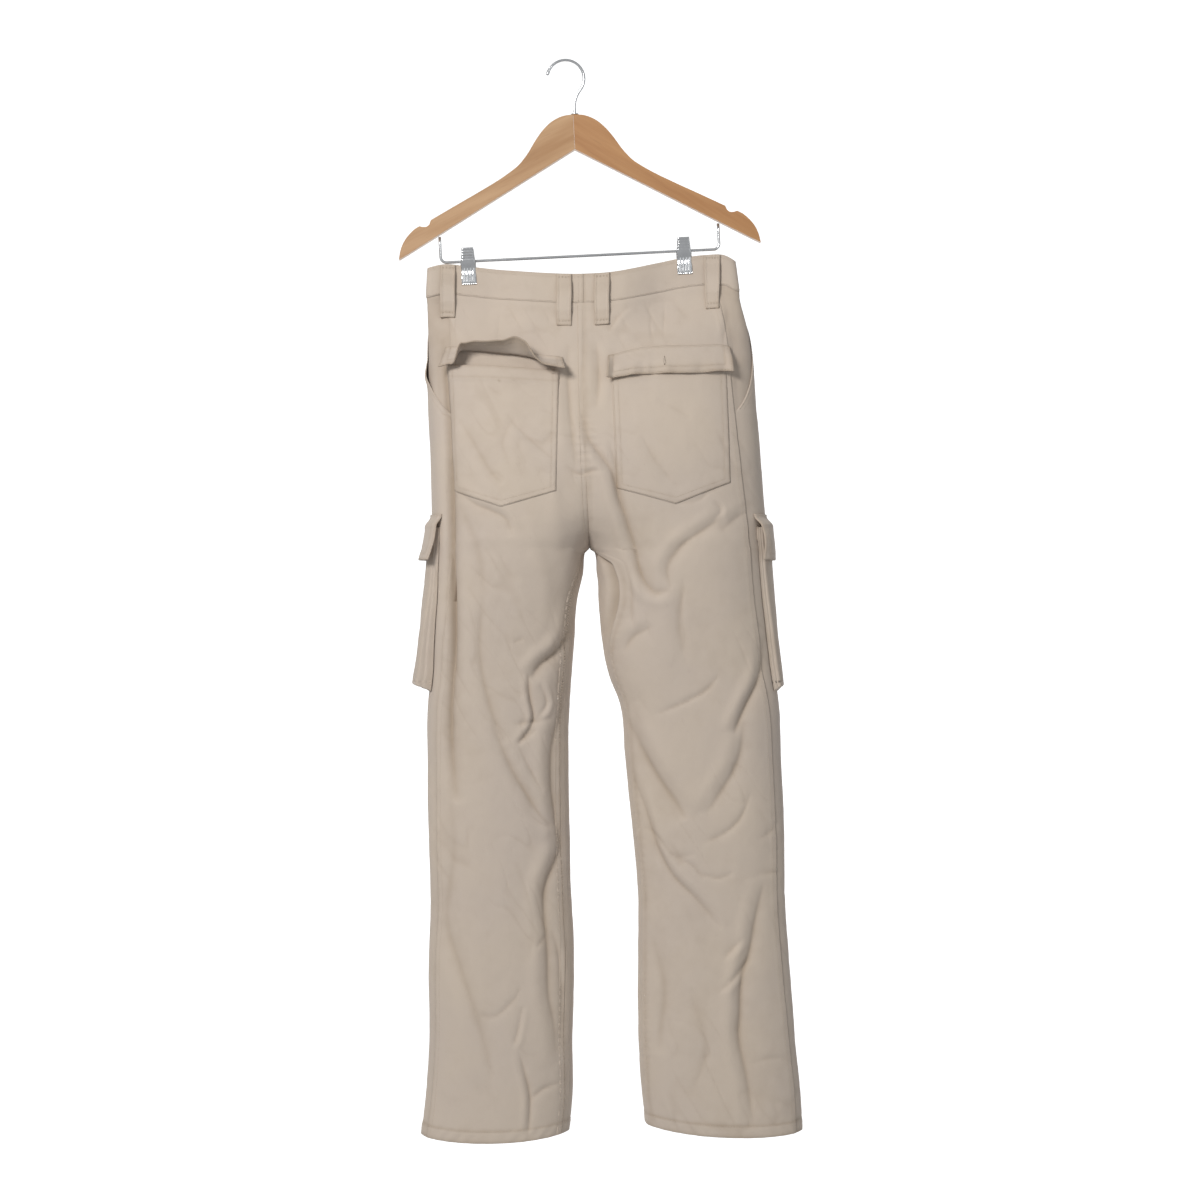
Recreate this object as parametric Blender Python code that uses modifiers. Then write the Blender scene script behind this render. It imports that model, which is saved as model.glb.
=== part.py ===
"""Cargo trousers hanging by the waistband from a wooden clip hanger, back outwards.

Metres, +Z up, with the origin at the inside of the hook's crown, where a rail holds it. The back of the
trousers faces -Y, and -X is the wearer's left. Lengths below are millimetres until a mesh is made, and heights
on the cloth are given as drops below the origin.
"""

import itertools
import math
from collections import namedtuple

import bmesh
import bpy
import numpy as np
from mathutils import Matrix, Vector
from mathutils.bvhtree import BVHTree

MM = 0.001

# Cloth.
SEAM_GAP = 0.3          # between neighbouring pieces
SEAM_ROOM = 0.9         # between their middles along a seam that bends, where the walls lean together
BAND_ROOM = 1.9         # the same at the waistband, whose wall is thicker
PANEL_WALL = 1.4
BAND_WALL = 2.8         # the waistband is cloth folded double
LOOP_WALL = 1.8
POCKET_WALL = 1.4
ROUNDNESS = 2.3         # exponent of the leg sections: 2 is an ellipse, more is boxier

# Trouser heights, as drops below the hook.
WAIST_DROP = 250.0
BAND_HEIGHT = 36.0
PANEL_TOP = WAIST_DROP + BAND_HEIGHT + BAND_ROOM
CROTCH_DROP = 597.0
KNEE_DROP = 850.0
HEM_DROP = 1309.0

# Hanger, in its own frame: origin at the foot of the hook, x along the shoulders, z up.
HANGER_TILT = math.radians(-2.8)
WOOD_THICKNESS = 12.0
HOOK_WIRE = 3.6
HOOK_RADIUS = 22.7
HOOK_CENTRE = (-7.3, 45.0)
HOOK_SWAN_RADIUS = 35.0
BAR_WIRE = 3.5
BAR_DROP = 172.9
BAR_HALF_SPAN = 170.7
BAR_CORNER = 7.0
ARM_UNDERSIDE = (-42.7, -0.564)   # height at the middle, slope
CLIP_PLACES = {"left": -137.3, "right": 127.1}
CLIP_WIDTH = 18.0
CLIP_METAL = 1.0

# One row for each height: outer and inner edge of both legs, how far the two halves have parted (0 one tube,
# 1 two tubes), how far the cloth stands out behind and in front, and how far the side seam sits behind the edge.
Section = namedtuple(
    "Section",
    "drop left_outer left_inner right_inner right_outer parting back front side_seam inseam",
)
SECTIONS = [
    Section(250, -168.5, 22.4, 22.8, 207.5, 0.00, 10, 9, 28, 0),
    Section(292, -170.4, 22.5, 22.9, 213.5, 0.00, 17, 16, 28, 0),
    Section(341, -169.6, 22.9, 23.3, 224.6, 0.00, 33, 30, 29, 0),
    Section(414, -168.5, 24.0, 24.4, 232.6, 0.06, 58, 52, 30, 0),
    Section(487, -164.9, 26.0, 26.4, 238.7, 0.24, 76, 70, 28, 0),
    Section(530, -163.5, 27.6, 28.2, 241.5, 0.45, 77, 72, 26, 0),
    Section(560, -162.4, 28.4, 29.4, 243.6, 0.66, 76, 72, 24, 0),
    Section(580, -162.0, 28.7, 30.3, 244.5, 0.84, 75, 72, 23, 0),
    Section(597, -161.8, 28.6, 31.0, 245.5, 1.00, 74, 71, 22, 0),
    Section(606, -161.8, 22.0, 39.0, 245.4, 1.00, 73, 70, 22, 2),
    Section(634, -161.8, 19.5, 40.5, 246.2, 1.00, 71, 69, 20, 6),
    Section(658, -161.8, 14.0, 41.0, 247.3, 1.00, 69, 68, 19, 8),
    Section(707, -163.5, 10.3, 45.0, 252.0, 1.00, 64, 64, 17, 9),
    Section(756, -165.5, 6.5, 54.5, 257.5, 1.00, 59, 59, 16, 9),
    Section(780, -167.9, 4.9, 64.1, 260.7, 1.00, 57, 57, 15, 9),
    Section(854, -168.5, 3.1, 72.7, 264.4, 1.00, 51, 51, 13, 9),
    Section(951, -167.9, 5.5, 82.4, 268.7, 1.00, 46, 46, 12, 9),
    Section(1025, -165.5, 6.7, 88.5, 268.7, 1.00, 44, 44, 11, 9),
    Section(1098, -167.9, 9.2, 88.5, 273.0, 1.00, 43, 43, 10, 9),
    Section(1196, -166.7, 7.9, 89.8, 281.5, 1.00, 43, 43, 9, 9),
    Section(1269, -171.0, 7.9, 93.4, 287.6, 1.00, 44, 44, 8, 9),
    Section(1309, -175.9, 4.0, 97.5, 288.8, 1.00, 45, 45, 8, 9),
]

# The waist's upper edge hangs from the clips and sags between them.
EdgePoint = namedtuple("EdgePoint", "x drop")
WAIST_EDGE = [
    EdgePoint(-168, 253.0),
    EdgePoint(-150, 249.0),
    EdgePoint(-119, 251.5),
    EdgePoint(-80, 256.0),
    EdgePoint(-30, 260.3),
    EdgePoint(23, 261.5),
    EdgePoint(60, 258.8),
    EdgePoint(115, 247.0),
    EdgePoint(145, 240.7),
    EdgePoint(172, 237.5),
    EdgePoint(196, 238.5),
    EdgePoint(208, 245.0),
]
HEM_EDGE = {"left": (1311.0, 1306.0), "right": (1306.0, 1297.0)}   # outer and inner drop of each hem
HEM_SAG = 6.5           # how much lower the middle of a hem's back and front hang

# Where the clips press the front and back of the waistband together.
CLIP_PINCH_X = (-119.0, 145.0)
PINCH_FLAT = 19.0       # half-width pressed flat by a clip
PINCH_OPENS = 60.0      # width over which the band opens again beside it
PINCH_DEPTH = 24.0
PINCH_FADE = 75.0
PINCH_CLEAR = BAND_WALL / 2 + 0.4

# The largest folds, each a soft trough along a curve on the face, with a raised lip on one side (+1 left of
# its run, -1 right of it, 0 none). face is back or front.
Fold = namedtuple("Fold", "face start bend end width depth lip")
FOLDS = [
    Fold("back", (-143, 350), (-136, 600), (-142, 890), 9, 7.0, -1),
    Fold("back", (-118, 735), (-80, 840), (-18, 935), 20, 7.0, 1),
    Fold("back", (-2, 770), (-20, 880), (-16, 1200), 11, 9.0, -1),
    Fold("back", (22, 440), (62, 510), (92, 640), 11, 10.0, 1),
    Fold("back", (78, 640), (122, 690), (172, 575), 11, 6.0, 1),
    Fold("back", (236, 690), (220, 800), (168, 925), 11, 8.0, 1),
    Fold("back", (66, 780), (112, 850), (146, 925), 15, 9.0, -1),
    Fold("back", (74, 850), (96, 960), (158, 1020), 10, 5.0, -1),
    Fold("back", (240, 985), (206, 1130), (230, 1296), 9, 6.0, 1),
    Fold("front", (20, 450), (60, 540), (84, 680), 13, 7.0, 1),
    Fold("front", (24, 460), (-30, 540), (-60, 700), 13, 6.0, -1),
    Fold("front", (-120, 760), (-60, 830), (-20, 980), 16, 6.0, 1),
    Fold("front", (120, 820), (170, 900), (225, 940), 16, 6.0, -1),
]

# Back patch pockets: corner points of the outline on the cloth, (x, drop).
PatchPocket = namedtuple("PatchPocket", "upper_outer upper_inner lower_outer lower_inner point gape")
BACK_POCKETS = {
    "left": PatchPocket((-143, 377), (-7, 377), (-137, 528), (-10, 528), (-76, 548), 9.0),
    "right": PatchPocket((195, 377), (56, 377), (199, 520), (62, 525), (133, 543), 2.0),
}
# Flaps over the back pockets: the sewn line from outer to inner, how far its middle arches up, the flap's
# length, and the angle from hanging down at which its middle stands, with the share of the line that stands so.
BackFlap = namedtuple("BackFlap", "outer inner crown length turn turn_from turn_to")
BACK_FLAPS = {
    "left": BackFlap((-146, 353), (-3, 358), 3.0, 30.0, math.radians(128), 0.10, 0.86),
    "right": BackFlap((200, 355), (52, 355), 4.0, 32.0, math.radians(0), 0.10, 0.86),
}
FLAP_TURN_EASE = 0.16   # share of the line over which a flap turns up

# Cargo pockets: drops of the mouth and bottom, and distances round the leg from the side seam.
CARGO_TOP, CARGO_BOTTOM = 572.0, 770.0
CARGO_BACK_EDGE, CARGO_WIDTH = 14.0, 165.0
CARGO_FLAP_TOP, CARGO_FLAP_LENGTH = 556.0, 55.0
# How far each pocket stands out at its mouth and bottom, and how far its flap's free edge flares.
CargoSwell = namedtuple("CargoSwell", "mouth bottom flare")
CARGO_SWELLS = {"left": CargoSwell(3.0, 20.0, 7.5), "right": CargoSwell(4.0, 7.0, 1.0)}

# Belt loops: centre x and face, two beside the back seam, two on the sides, two in front.
LOOP_WIDTH, LOOP_LENGTH, BELT_ROOM = 18.0, 65.0, 4.8
LOOP_FACING = np.array([0.4, 1.0, 0.0])    # turns the loops at the sides towards the back
BELT_LOOPS = {
    "back_left": (-1.5, "back"),
    "back_right": (44.5, "back"),
    "side_left": (-144.0, "back"),
    "side_right": (179.5, "back"),
    "front_left": (-40.0, "front"),
    "front_right": (84.0, "front"),
}

# Front, plain: side pockets with a steep mouth that curves out to the side seam at its foot, a fly and its button.
SLANT_WIDTH, SLANT_HEIGHT, SLANT_UNDERLAP, SLANT_CURVE = 42.0, 150.0, 14.0, 4
FACING_REACH = 3.0      # short, so that the far wall of the narrow hip isn't taken for the near one
FLY_WIDTH, FLY_LENGTH = 36.0, 165.0
BUTTON_RADIUS, BUTTON_HEIGHT = 8.5, 3.2

SIDES = ("left", "right")
TOWARDS = {"back": (0.0, -1.0, 0.0), "front": (0.0, 1.0, 0.0), "left": (-1.0, 0.0, 0.0), "right": (1.0, 0.0, 0.0)}
ROUND_STEPS = 180       # fine steps round a section, from which even columns are read
LAY_ROUNDS = 24         # most rounds of raising a piece that is laid on others
LAY_REACH = 14.0        # how far out a piece beneath is looked for
LAY_MARGIN = 0.3        # extra room, for what lies between the tried points


def clear_scene():
    for obj in list(bpy.data.objects):
        bpy.data.objects.remove(obj, do_unlink=True)


def collection_named(name):
    group = bpy.data.collections.new(name)
    bpy.context.scene.collection.children.link(group)
    return group


def material_of(name, colour, roughness, metallic=0.0):
    material = bpy.data.materials.new(name)
    material.use_nodes = True
    shader = material.node_tree.nodes["Principled BSDF"]
    shader.inputs["Base Color"].default_value = (*colour, 1.0)
    shader.inputs["Roughness"].default_value = roughness
    shader.inputs["Metallic"].default_value = metallic
    return material


def through(xs, ys, at):
    """A smooth curve through the points: a cubic between neighbours, its slopes those of the neighbours' chord."""
    xs, ys, at = np.asarray(xs, float), np.asarray(ys, float), np.asarray(at, float)
    slopes = np.gradient(ys, xs)
    at = np.clip(at, xs[0], xs[-1])
    i = np.clip(np.searchsorted(xs, at) - 1, 0, len(xs) - 2)
    step = xs[i + 1] - xs[i]
    t = (at - xs[i]) / step
    return (
        (2 * t**3 - 3 * t**2 + 1) * ys[i]
        + (t**3 - 2 * t**2 + t) * step * slopes[i]
        + (3 * t**2 - 2 * t**3) * ys[i + 1]
        + (t**3 - t**2) * step * slopes[i + 1]
    )


def column(name, row):
    return through([s.drop for s in SECTIONS], [getattr(s, name) for s in SECTIONS], row)


def eased(t):
    t = np.clip(t, 0.0, 1.0)
    return t * t * (3 - 2 * t)


def rounded(value, power):
    return np.sign(value) * np.abs(value) ** power


def fold_height(face, x, drop):
    """How far the face's folds lift (+) or sink (-) the cloth at each point."""
    total = np.zeros(np.broadcast(x, drop).shape)
    along = np.linspace(0, 1, 13)
    for fold in FOLDS:
        if fold.face != face:
            continue
        a, b, c = (np.array(p, float) for p in (fold.start, fold.bend, fold.end))
        path = np.array([(1 - t) ** 2 * a + 2 * t * (1 - t) * b + t * t * c for t in along])
        nearest = np.full(total.shape, np.inf)
        place, side = np.zeros(total.shape), np.zeros(total.shape)
        for k in range(len(path) - 1):
            run = path[k + 1] - path[k]
            length = np.hypot(*run)
            dx, dz = x - path[k, 0], drop - path[k, 1]
            t = np.clip((dx * run[0] + dz * run[1]) / length**2, 0, 1)
            away = np.hypot(dx - t * run[0], dz - t * run[1])
            closer = away < nearest
            nearest = np.where(closer, away, nearest)
            place = np.where(closer, (k + t) / (len(path) - 1), place)
            side = np.where(closer, np.sign(run[0] * dz - run[1] * dx), side)
        taper = np.sin(np.pi * np.clip(place, 0, 1)) ** 0.5
        trough = np.exp(-((nearest / fold.width) ** 2))
        lip = np.exp(-((side * nearest * -fold.lip / fold.width - 1.7) ** 2)) if fold.lip else 0.0
        total = total + fold.depth * taper * (0.5 * lip - trough)
    return total


def half_tube(side, row):
    """Centre and signed half-width of the leg, or of this half of the hips, at a row."""
    outer, inner = column(side + "_outer", row), column(side + "_inner", row)
    half = (inner - outer) / (1 + np.clip(column("parting", row), 0, 1))
    return outer + half, half


def drop_at(side, x, row):
    """The true drop of a point: rows near the waist follow its sagging edge, rows near the hem follow the hem."""
    edge = through([p.x for p in WAIST_EDGE], [p.drop for p in WAIST_EDGE], x)
    upper = 1 - eased((row - WAIST_DROP) / (CROTCH_DROP - WAIST_DROP))
    outer, inner = column(side + "_outer", row), column(side + "_inner", row)
    across = np.clip((x - outer) / (inner - outer), 0, 1)
    hem = HEM_EDGE[side][0] * (1 - across) + HEM_EDGE[side][1] * across
    hem = hem + HEM_SAG * 4 * across * (1 - across)
    lower = np.clip((row - KNEE_DROP) / (HEM_DROP - KNEE_DROP), 0, 1)
    return row + (edge - WAIST_DROP) * upper + (hem - HEM_DROP) * lower


def surface(side, row, angle):
    """The middle of the cloth at a row and an angle round the leg: 0 at the outer edge, +90 degrees behind,
    -90 degrees in front, 180 at the inner edge."""
    centre, half = half_tube(side, row)
    across, out = rounded(np.cos(angle), 2 / ROUNDNESS), rounded(np.sin(angle), 2 / ROUNDNESS)
    x = centre - half * across
    drop = drop_at(side, x, row)
    behind = out > 0
    depth = np.where(behind, column("back", row), column("front", row))
    pinch = sum(1 - eased((np.abs(x - place) - PINCH_FLAT) / PINCH_OPENS) for place in CLIP_PINCH_X)
    pinch = pinch * (1 - eased((row - WAIST_DROP - PINCH_DEPTH) / PINCH_FADE))
    stand = depth * np.abs(out) * (1 - pinch) + PINCH_CLEAR * np.clip(3 * np.abs(out), 0, 1)
    free = eased((row - WAIST_DROP - BAND_HEIGHT) / 60) * np.clip(1.6 * np.abs(out) - 0.6, 0, 1)
    folds = np.where(behind, fold_height("back", x, drop), fold_height("front", x, drop))
    stand = stand + folds * free
    return np.stack([x, np.where(behind, -stand, stand), -drop], axis=-1)


def side_angle(side, row):
    half = np.abs(half_tube(side, row)[1])
    return np.arccos((1 - column("side_seam", row) / half) ** (ROUNDNESS / 2))


def back_end(side, row):
    """The angle where the back panel ends: the seat seam above the crotch, the inseam below it."""
    half = np.abs(half_tube(side, row)[1])
    reach = np.clip(column("parting", row), 0, 1) - np.clip(column("inseam", row), 0, None) / half
    return np.arccos(-np.clip(reach, 0, 1) ** (ROUNDNESS / 2))


def front_end(side, row):
    """The angle where the front panel ends: the fly seam above the crotch, the inseam below it."""
    if row <= CROTCH_DROP:
        return -np.arccos(-np.clip(column("parting", row), 0, 1) ** (ROUNDNESS / 2))
    return back_end(side, row) - 2 * math.pi


def angle_at(side, x, row, face):
    """The angle of the point of one face that stands at x."""
    centre, half = half_tube(side, row)
    share = np.clip((centre - x) / half, -1, 1)
    angle = np.arccos(rounded(share, ROUNDNESS / 2))
    return angle if face == "back" else -angle


def round_the_leg(side, rows, first, last, columns, near=0.0, far=None, room=SEAM_ROOM):
    """A grid of even columns on the cloth from angle first to angle last, starting near mm from its start and
    ending far mm from it, with half the room left at a seam. first, last, near and far may vary with the row."""
    grid = []
    for row in rows:
        begin, end, skip, stop = (v(side, row) if callable(v) else v for v in (first, last, near, far))
        angles = np.linspace(begin, end, ROUND_STEPS)
        points = surface(side, np.full(ROUND_STEPS, row), angles)
        run = np.concatenate([[0], np.cumsum(np.linalg.norm(np.diff(points, axis=0), axis=1))])
        stop = run[-1] - room / 2 if stop is None else min(stop, run[-1])
        at = np.interp(np.linspace(max(skip, room / 2), stop, columns + 1), run, angles)
        grid.append(surface(side, np.full(columns + 1, row), at))
    return np.array(grid)


def normals(grid, towards):
    """Unit normals of a grid, on the side of it that looks towards the given direction."""
    rows, cols = np.gradient(grid, axis=0), np.gradient(grid, axis=1)
    normal = np.cross(rows, cols)
    normal /= np.maximum(np.linalg.norm(normal, axis=2, keepdims=True), 1e-9)
    return normal * np.sign((normal @ np.array(towards)).mean())


def sheet(name, grid, wall, material, group):
    """A cloth piece: the grid of its middle surface, thickened both ways by Solidify."""
    rows, cols = grid.shape[:2]
    index = np.arange(rows * cols).reshape(rows, cols)
    near, far = (index[:-1, :-1], index[:-1, 1:], index[1:, :-1]), (index[:-1, 1:], index[1:, 1:], index[1:, :-1])
    faces = np.concatenate([np.stack(corners, axis=-1).reshape(-1, 3) for corners in (near, far)])
    mesh = bpy.data.meshes.new(name)
    mesh.from_pydata((grid.reshape(-1, 3) * MM).tolist(), [], faces.tolist())
    mesh.materials.append(material)
    mesh.shade_smooth()
    obj = bpy.data.objects.new(name, mesh)
    group.objects.link(obj)
    thick = obj.modifiers.new("cloth wall", "SOLIDIFY")
    thick.thickness = wall * MM
    thick.offset = 0.0
    return obj


def clear_of(grid, normal, wall, beneath, reach=LAY_REACH):
    """Raises a grid's points along their normals until a wall along it stands a gap clear of the pieces beneath.
    Each cell is tried at 25 points, and one that is too near raises its cell's corners by their shares."""
    depsgraph = bpy.context.evaluated_depsgraph_get()
    trees = [BVHTree.FromObject(bpy.data.objects[name], depsgraph) for name in beneath]
    grid, shares = np.array(grid), np.linspace(0, 1, 5)
    corners = [(0, 0), (0, 1), (1, 0), (1, 1)]
    need = wall / 2 + SEAM_GAP + LAY_MARGIN
    for _ in range(LAY_ROUNDS):
        lift = np.zeros(grid.shape[:2])
        for i, j in np.ndindex(grid.shape[0] - 1, grid.shape[1] - 1):
            for down, along in itertools.product(shares, shares):
                # Each cell is two triangles, and a point's shares are those of its own triangle's corners.
                if down + along <= 1:
                    weights = [1 - down - along, along, down, 0.0]
                else:
                    weights = [0.0, 1 - down, 1 - along, down + along - 1]
                point = sum(w * grid[i + a, j + b] for w, (a, b) in zip(weights, corners))
                out = sum(w * normal[i + a, j + b] for w, (a, b) in zip(weights, corners))
                short = max(shortfall(tree, point, out / np.linalg.norm(out), need, reach) for tree in trees)
                if short > 0:
                    for w, (a, b) in zip(weights, corners):
                        lift[i + a, j + b] = max(lift[i + a, j + b], short * w / max(weights))
        if lift.max() < 0.01:
            break
        grid += lift[..., None] * normal
    return grid


def shortfall(tree, point, out, need, reach):
    """How much further out a point must go to stand clear of a piece: its depth under it, or its lack of room."""
    hit = tree.ray_cast(Vector((point + out * reach) * MM), Vector(-out), reach * MM)[3]
    if hit is not None:
        return need + reach - hit / MM
    return need - tree.find_nearest(Vector(point * MM))[3] / MM


def panel_rows(crotch_rows, leg_rows):
    """Rows of a leg panel: closer together near the crotch, where the section changes quickly."""
    upper = CROTCH_DROP - (CROTCH_DROP - PANEL_TOP) * (1 - np.linspace(0, 1, crotch_rows + 1)) ** 1.35
    return np.concatenate([upper, np.linspace(CROTCH_DROP, HEM_DROP, leg_rows + 1)[1:]])


def slant_skip(side, row):
    """How much of the front panel's outer edge the slanting pocket mouth cuts away at a row."""
    share = max(0.0, (row - WAIST_DROP - BAND_HEIGHT) / SLANT_HEIGHT)
    return SLANT_WIDTH * max(0.0, 1 - share**SLANT_CURVE) + SEAM_ROOM / 2


def make_legs(cloth, group):
    rows = panel_rows(11, 17)
    for side in SIDES:
        back = round_the_leg(side, rows, side_angle, back_end, 14)
        sheet("back_" + side, back, PANEL_WALL, cloth, group)
        front = round_the_leg(side, rows, side_angle, front_end, 12, near=slant_skip)
        sheet("front_" + side, front, PANEL_WALL, cloth, group)


def make_front_pockets(cloth, group):
    """The pocket facing that shows in each slanting front pocket, behind the panel's cut edge."""
    for side in SIDES:
        rows = np.linspace(PANEL_TOP, PANEL_TOP + SLANT_HEIGHT - 6, 10)
        grid = round_the_leg(
            side, rows, side_angle, front_end, 8, near=1.2, far=lambda s, r: slant_skip(s, r) + SLANT_UNDERLAP
        )
        normal = normals(grid, TOWARDS[side])
        inward = -(PANEL_WALL + 1.0) * eased(np.linspace(0, 1, 9) * 2.2)
        grid = clear_of(grid + normal * inward[None, :, None], -normal, PANEL_WALL, ["front_" + side], FACING_REACH)
        sheet("front_pocket_facing_" + side, grid, PANEL_WALL, cloth, group)


def make_waistband(cloth, group):
    rows = np.linspace(WAIST_DROP, WAIST_DROP + BAND_HEIGHT, 4)
    for side in SIDES:
        back = round_the_leg(side, rows, side_angle, back_end, 14, room=BAND_ROOM)
        sheet("waistband_back_" + side, back, BAND_WALL, cloth, group)
        front = round_the_leg(side, rows, side_angle, front_end, 16, room=BAND_ROOM)
        sheet("waistband_front_" + side, front, BAND_WALL, cloth, group)


def on_face(side, face, x, row):
    return surface(side, row, angle_at(side, x, row, face))


def make_belt_loops(cloth, group):
    """Each loop is sewn down at both ends and stands off the band between them, leaving room for a belt."""
    middle_x = SECTIONS[0].left_inner
    over_band = BAND_WALL / 2 + SEAM_GAP + LOOP_WALL / 2
    over_panel = PANEL_WALL / 2 + SEAM_GAP + LOOP_WALL / 2
    standing = BAND_WALL / 2 + BELT_ROOM + LOOP_WALL / 2
    # Share of the length, and how far the loop's middle stands from the garment's middle.
    profile = [(0.0, over_band), (0.09, over_band), (0.17, standing), (0.5, standing + 0.3),
               (0.70, standing), (0.84, over_panel + 0.2), (1.0, over_panel)]
    for name, (centre, face) in BELT_LOOPS.items():
        side = "left" if centre < middle_x else "right"
        xs = np.linspace(centre - LOOP_WIDTH / 2, centre + LOOP_WIDTH / 2, 3)
        rows = WAIST_DROP + 0.5 + LOOP_LENGTH * np.array([p[0] for p in profile])
        grid = on_face(side, face, xs[None, :] + 0 * rows[:, None], rows[:, None] + 0 * xs[None, :])
        # One direction for the whole loop keeps its ends square.
        direction = normals(grid, TOWARDS[face]).mean(axis=(0, 1)) * LOOP_FACING
        direction /= np.linalg.norm(direction)
        stand = np.array([p[1] for p in profile])
        beneath = [part + side for part in ("waistband_back_", "waistband_front_", "back_", "front_")]
        normal = np.broadcast_to(direction, grid.shape)
        grid = clear_of(grid + stand[:, None, None] * direction, normal, LOOP_WALL, beneath)
        sheet("belt_loop_" + name, grid, LOOP_WALL, cloth, group)


def patch_grid(side, outline, rows, cols):
    """A patch pocket's grid: its four corners, with the bottom edge run down to the point."""
    down, along = np.linspace(0, 1, rows + 1)[:, None], np.linspace(0, 1, cols + 1)[None, :]
    corners = [np.array(p, float) for p in outline[:4]]
    upper = corners[0] + along[..., None] * (corners[1] - corners[0])
    lower = corners[2] + along[..., None] * (corners[3] - corners[2])
    point_share = (outline.point[0] - corners[2][0]) / (corners[3][0] - corners[2][0])
    peak = np.where(along < point_share, along / point_share, (1 - along) / (1 - point_share))
    grid = upper + down[..., None] * (lower - upper)
    grid[..., 1] += down * peak * (outline.point[1] - corners[2][1])
    return grid


def make_back_pockets(cloth, group):
    for side, outline in BACK_POCKETS.items():
        flat = patch_grid(side, outline, 7, 7)
        grid = on_face(side, "back", flat[..., 0], flat[..., 1])
        normal = normals(grid, TOWARDS["back"])
        down, along = np.linspace(0, 1, 8)[:, None], np.linspace(0, 1, 8)[None, :]
        sewn = PANEL_WALL / 2 + SEAM_GAP + POCKET_WALL / 2 + 0.3
        gape = outline.gape * np.sin(np.pi * along) * (1 - down) ** 1.5
        grid = grid + (sewn + gape)[..., None] * normal
        grid = clear_of(grid, normal, POCKET_WALL, ["back_" + side])
        sheet("back_pocket_" + side, grid, POCKET_WALL, cloth, group)


def make_back_flaps(cloth, group):
    """Each flap hangs from its sewn line. The left one's middle is turned up and out, so its pocket gapes."""
    sewn = PANEL_WALL / 2 + SEAM_GAP + POCKET_WALL / 2 + 0.3
    down, along = np.linspace(0, 1, 6)[:, None], np.linspace(0, 1, 15)[None, :]
    for side, flap in BACK_FLAPS.items():
        outer, inner = np.array(flap.outer, float), np.array(flap.inner, float)
        x = outer[0] + along * (inner[0] - outer[0]) + 0 * down
        line = outer[1] + along * (inner[1] - outer[1]) - flap.crown * np.sin(np.pi * along) + 0 * down
        rise = eased((along - flap.turn_from) / FLAP_TURN_EASE)
        fall = eased((flap.turn_to - along) / FLAP_TURN_EASE)
        # The flap bends up within its first part, so the angle grows along its length.
        angle = flap.turn * rise * fall * eased(down * 2.5)
        step = flap.length / 5
        below = np.cumsum(step * np.cos(angle) * (down > 0), axis=0)
        out = np.cumsum(step * np.sin(angle) * (down > 0), axis=0)
        normal = normals(on_face(side, "back", x, line + flap.length * down), TOWARDS["back"])
        hanging = on_face(side, "back", x, line + np.clip(below, 0, None))
        foot = on_face(side, "back", x, line)
        grid = np.where((below > 0)[..., None], hanging, foot + np.array([0, 0, -1.0]) * below[..., None])
        over_pocket = sewn + (POCKET_WALL + 2.0) * eased(down * 1.6)
        beneath = ["back_" + side, "back_pocket_" + side]
        grid = clear_of(grid + (over_pocket + out)[..., None] * normal, normal, POCKET_WALL, beneath)
        sheet("back_flap_" + side, grid, POCKET_WALL, cloth, group)


def make_cargo_pockets(cloth, group):
    """Bellows pockets on the thighs: an outer face held off the leg by gussets at both sides and the bottom."""
    sewn = PANEL_WALL / 2 + SEAM_GAP + POCKET_WALL / 2 + 0.4
    inset = 5.0
    for side in SIDES:
        cols = np.array([0, inset, 40, 82, 125, CARGO_WIDTH - inset, CARGO_WIDTH]) + CARGO_BACK_EDGE
        rows = np.concatenate([np.linspace(CARGO_TOP, CARGO_BOTTOM - inset, 6), [CARGO_BOTTOM]])
        grid, normal = cargo_points(side, rows, cols)
        swell = np.interp(rows, [CARGO_TOP, CARGO_BOTTOM], CARGO_SWELLS[side][:2])[:, None] * np.ones(len(cols))
        swell[:, [0, -1]] = 0.0
        swell[-1, :] = 0.0
        beneath = ["back_" + side, "front_" + side]
        grid = clear_of(grid + (sewn + swell)[..., None] * normal, normal, POCKET_WALL, beneath)
        sheet("cargo_pocket_" + side, grid, POCKET_WALL, cloth, group)


def cargo_points(side, rows, distances):
    """Points on the leg at distances round it from the side seam towards the front, and their normals."""
    fine = np.array([
        round_the_leg(side, [row], side_angle, front_end, 60, near=1.0, far=CARGO_BACK_EDGE + CARGO_WIDTH + 9)[0]
        for row in rows
    ])
    normal = normals(fine, TOWARDS[side])
    run = np.linspace(1.0, CARGO_BACK_EDGE + CARGO_WIDTH + 9, 61)

    def pick(values):
        return np.array([[[np.interp(d, run, line[:, k]) for k in range(3)] for d in distances] for line in values])

    chosen = pick(normal)
    return pick(fine), chosen / np.linalg.norm(chosen, axis=2, keepdims=True)


def make_cargo_flaps(cloth, group):
    """A flap is sewn above each mouth and lies over the bellows."""
    sewn = PANEL_WALL / 2 + SEAM_GAP + POCKET_WALL / 2 + 0.4
    for side in SIDES:
        rows = CARGO_FLAP_TOP + CARGO_FLAP_LENGTH * np.array([0.0, 0.10, 0.20, 0.60, 1.0])
        cols = np.linspace(CARGO_BACK_EDGE - 3, CARGO_BACK_EDGE + CARGO_WIDTH + 3, 8)
        grid, normal = cargo_points(side, rows, cols)
        over = CARGO_SWELLS[side].mouth + sewn + POCKET_WALL + 1.5
        flare = CARGO_SWELLS[side].flare
        stand = np.array([sewn, (sewn + over) / 2, over, over + 0.5 * flare, over + flare])
        beneath = [part + side for part in ("back_", "front_", "cargo_pocket_")]
        grid = clear_of(grid + stand[:, None, None] * normal, normal, POCKET_WALL, beneath)
        sheet("cargo_flap_" + side, grid, POCKET_WALL, cloth, group)


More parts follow.
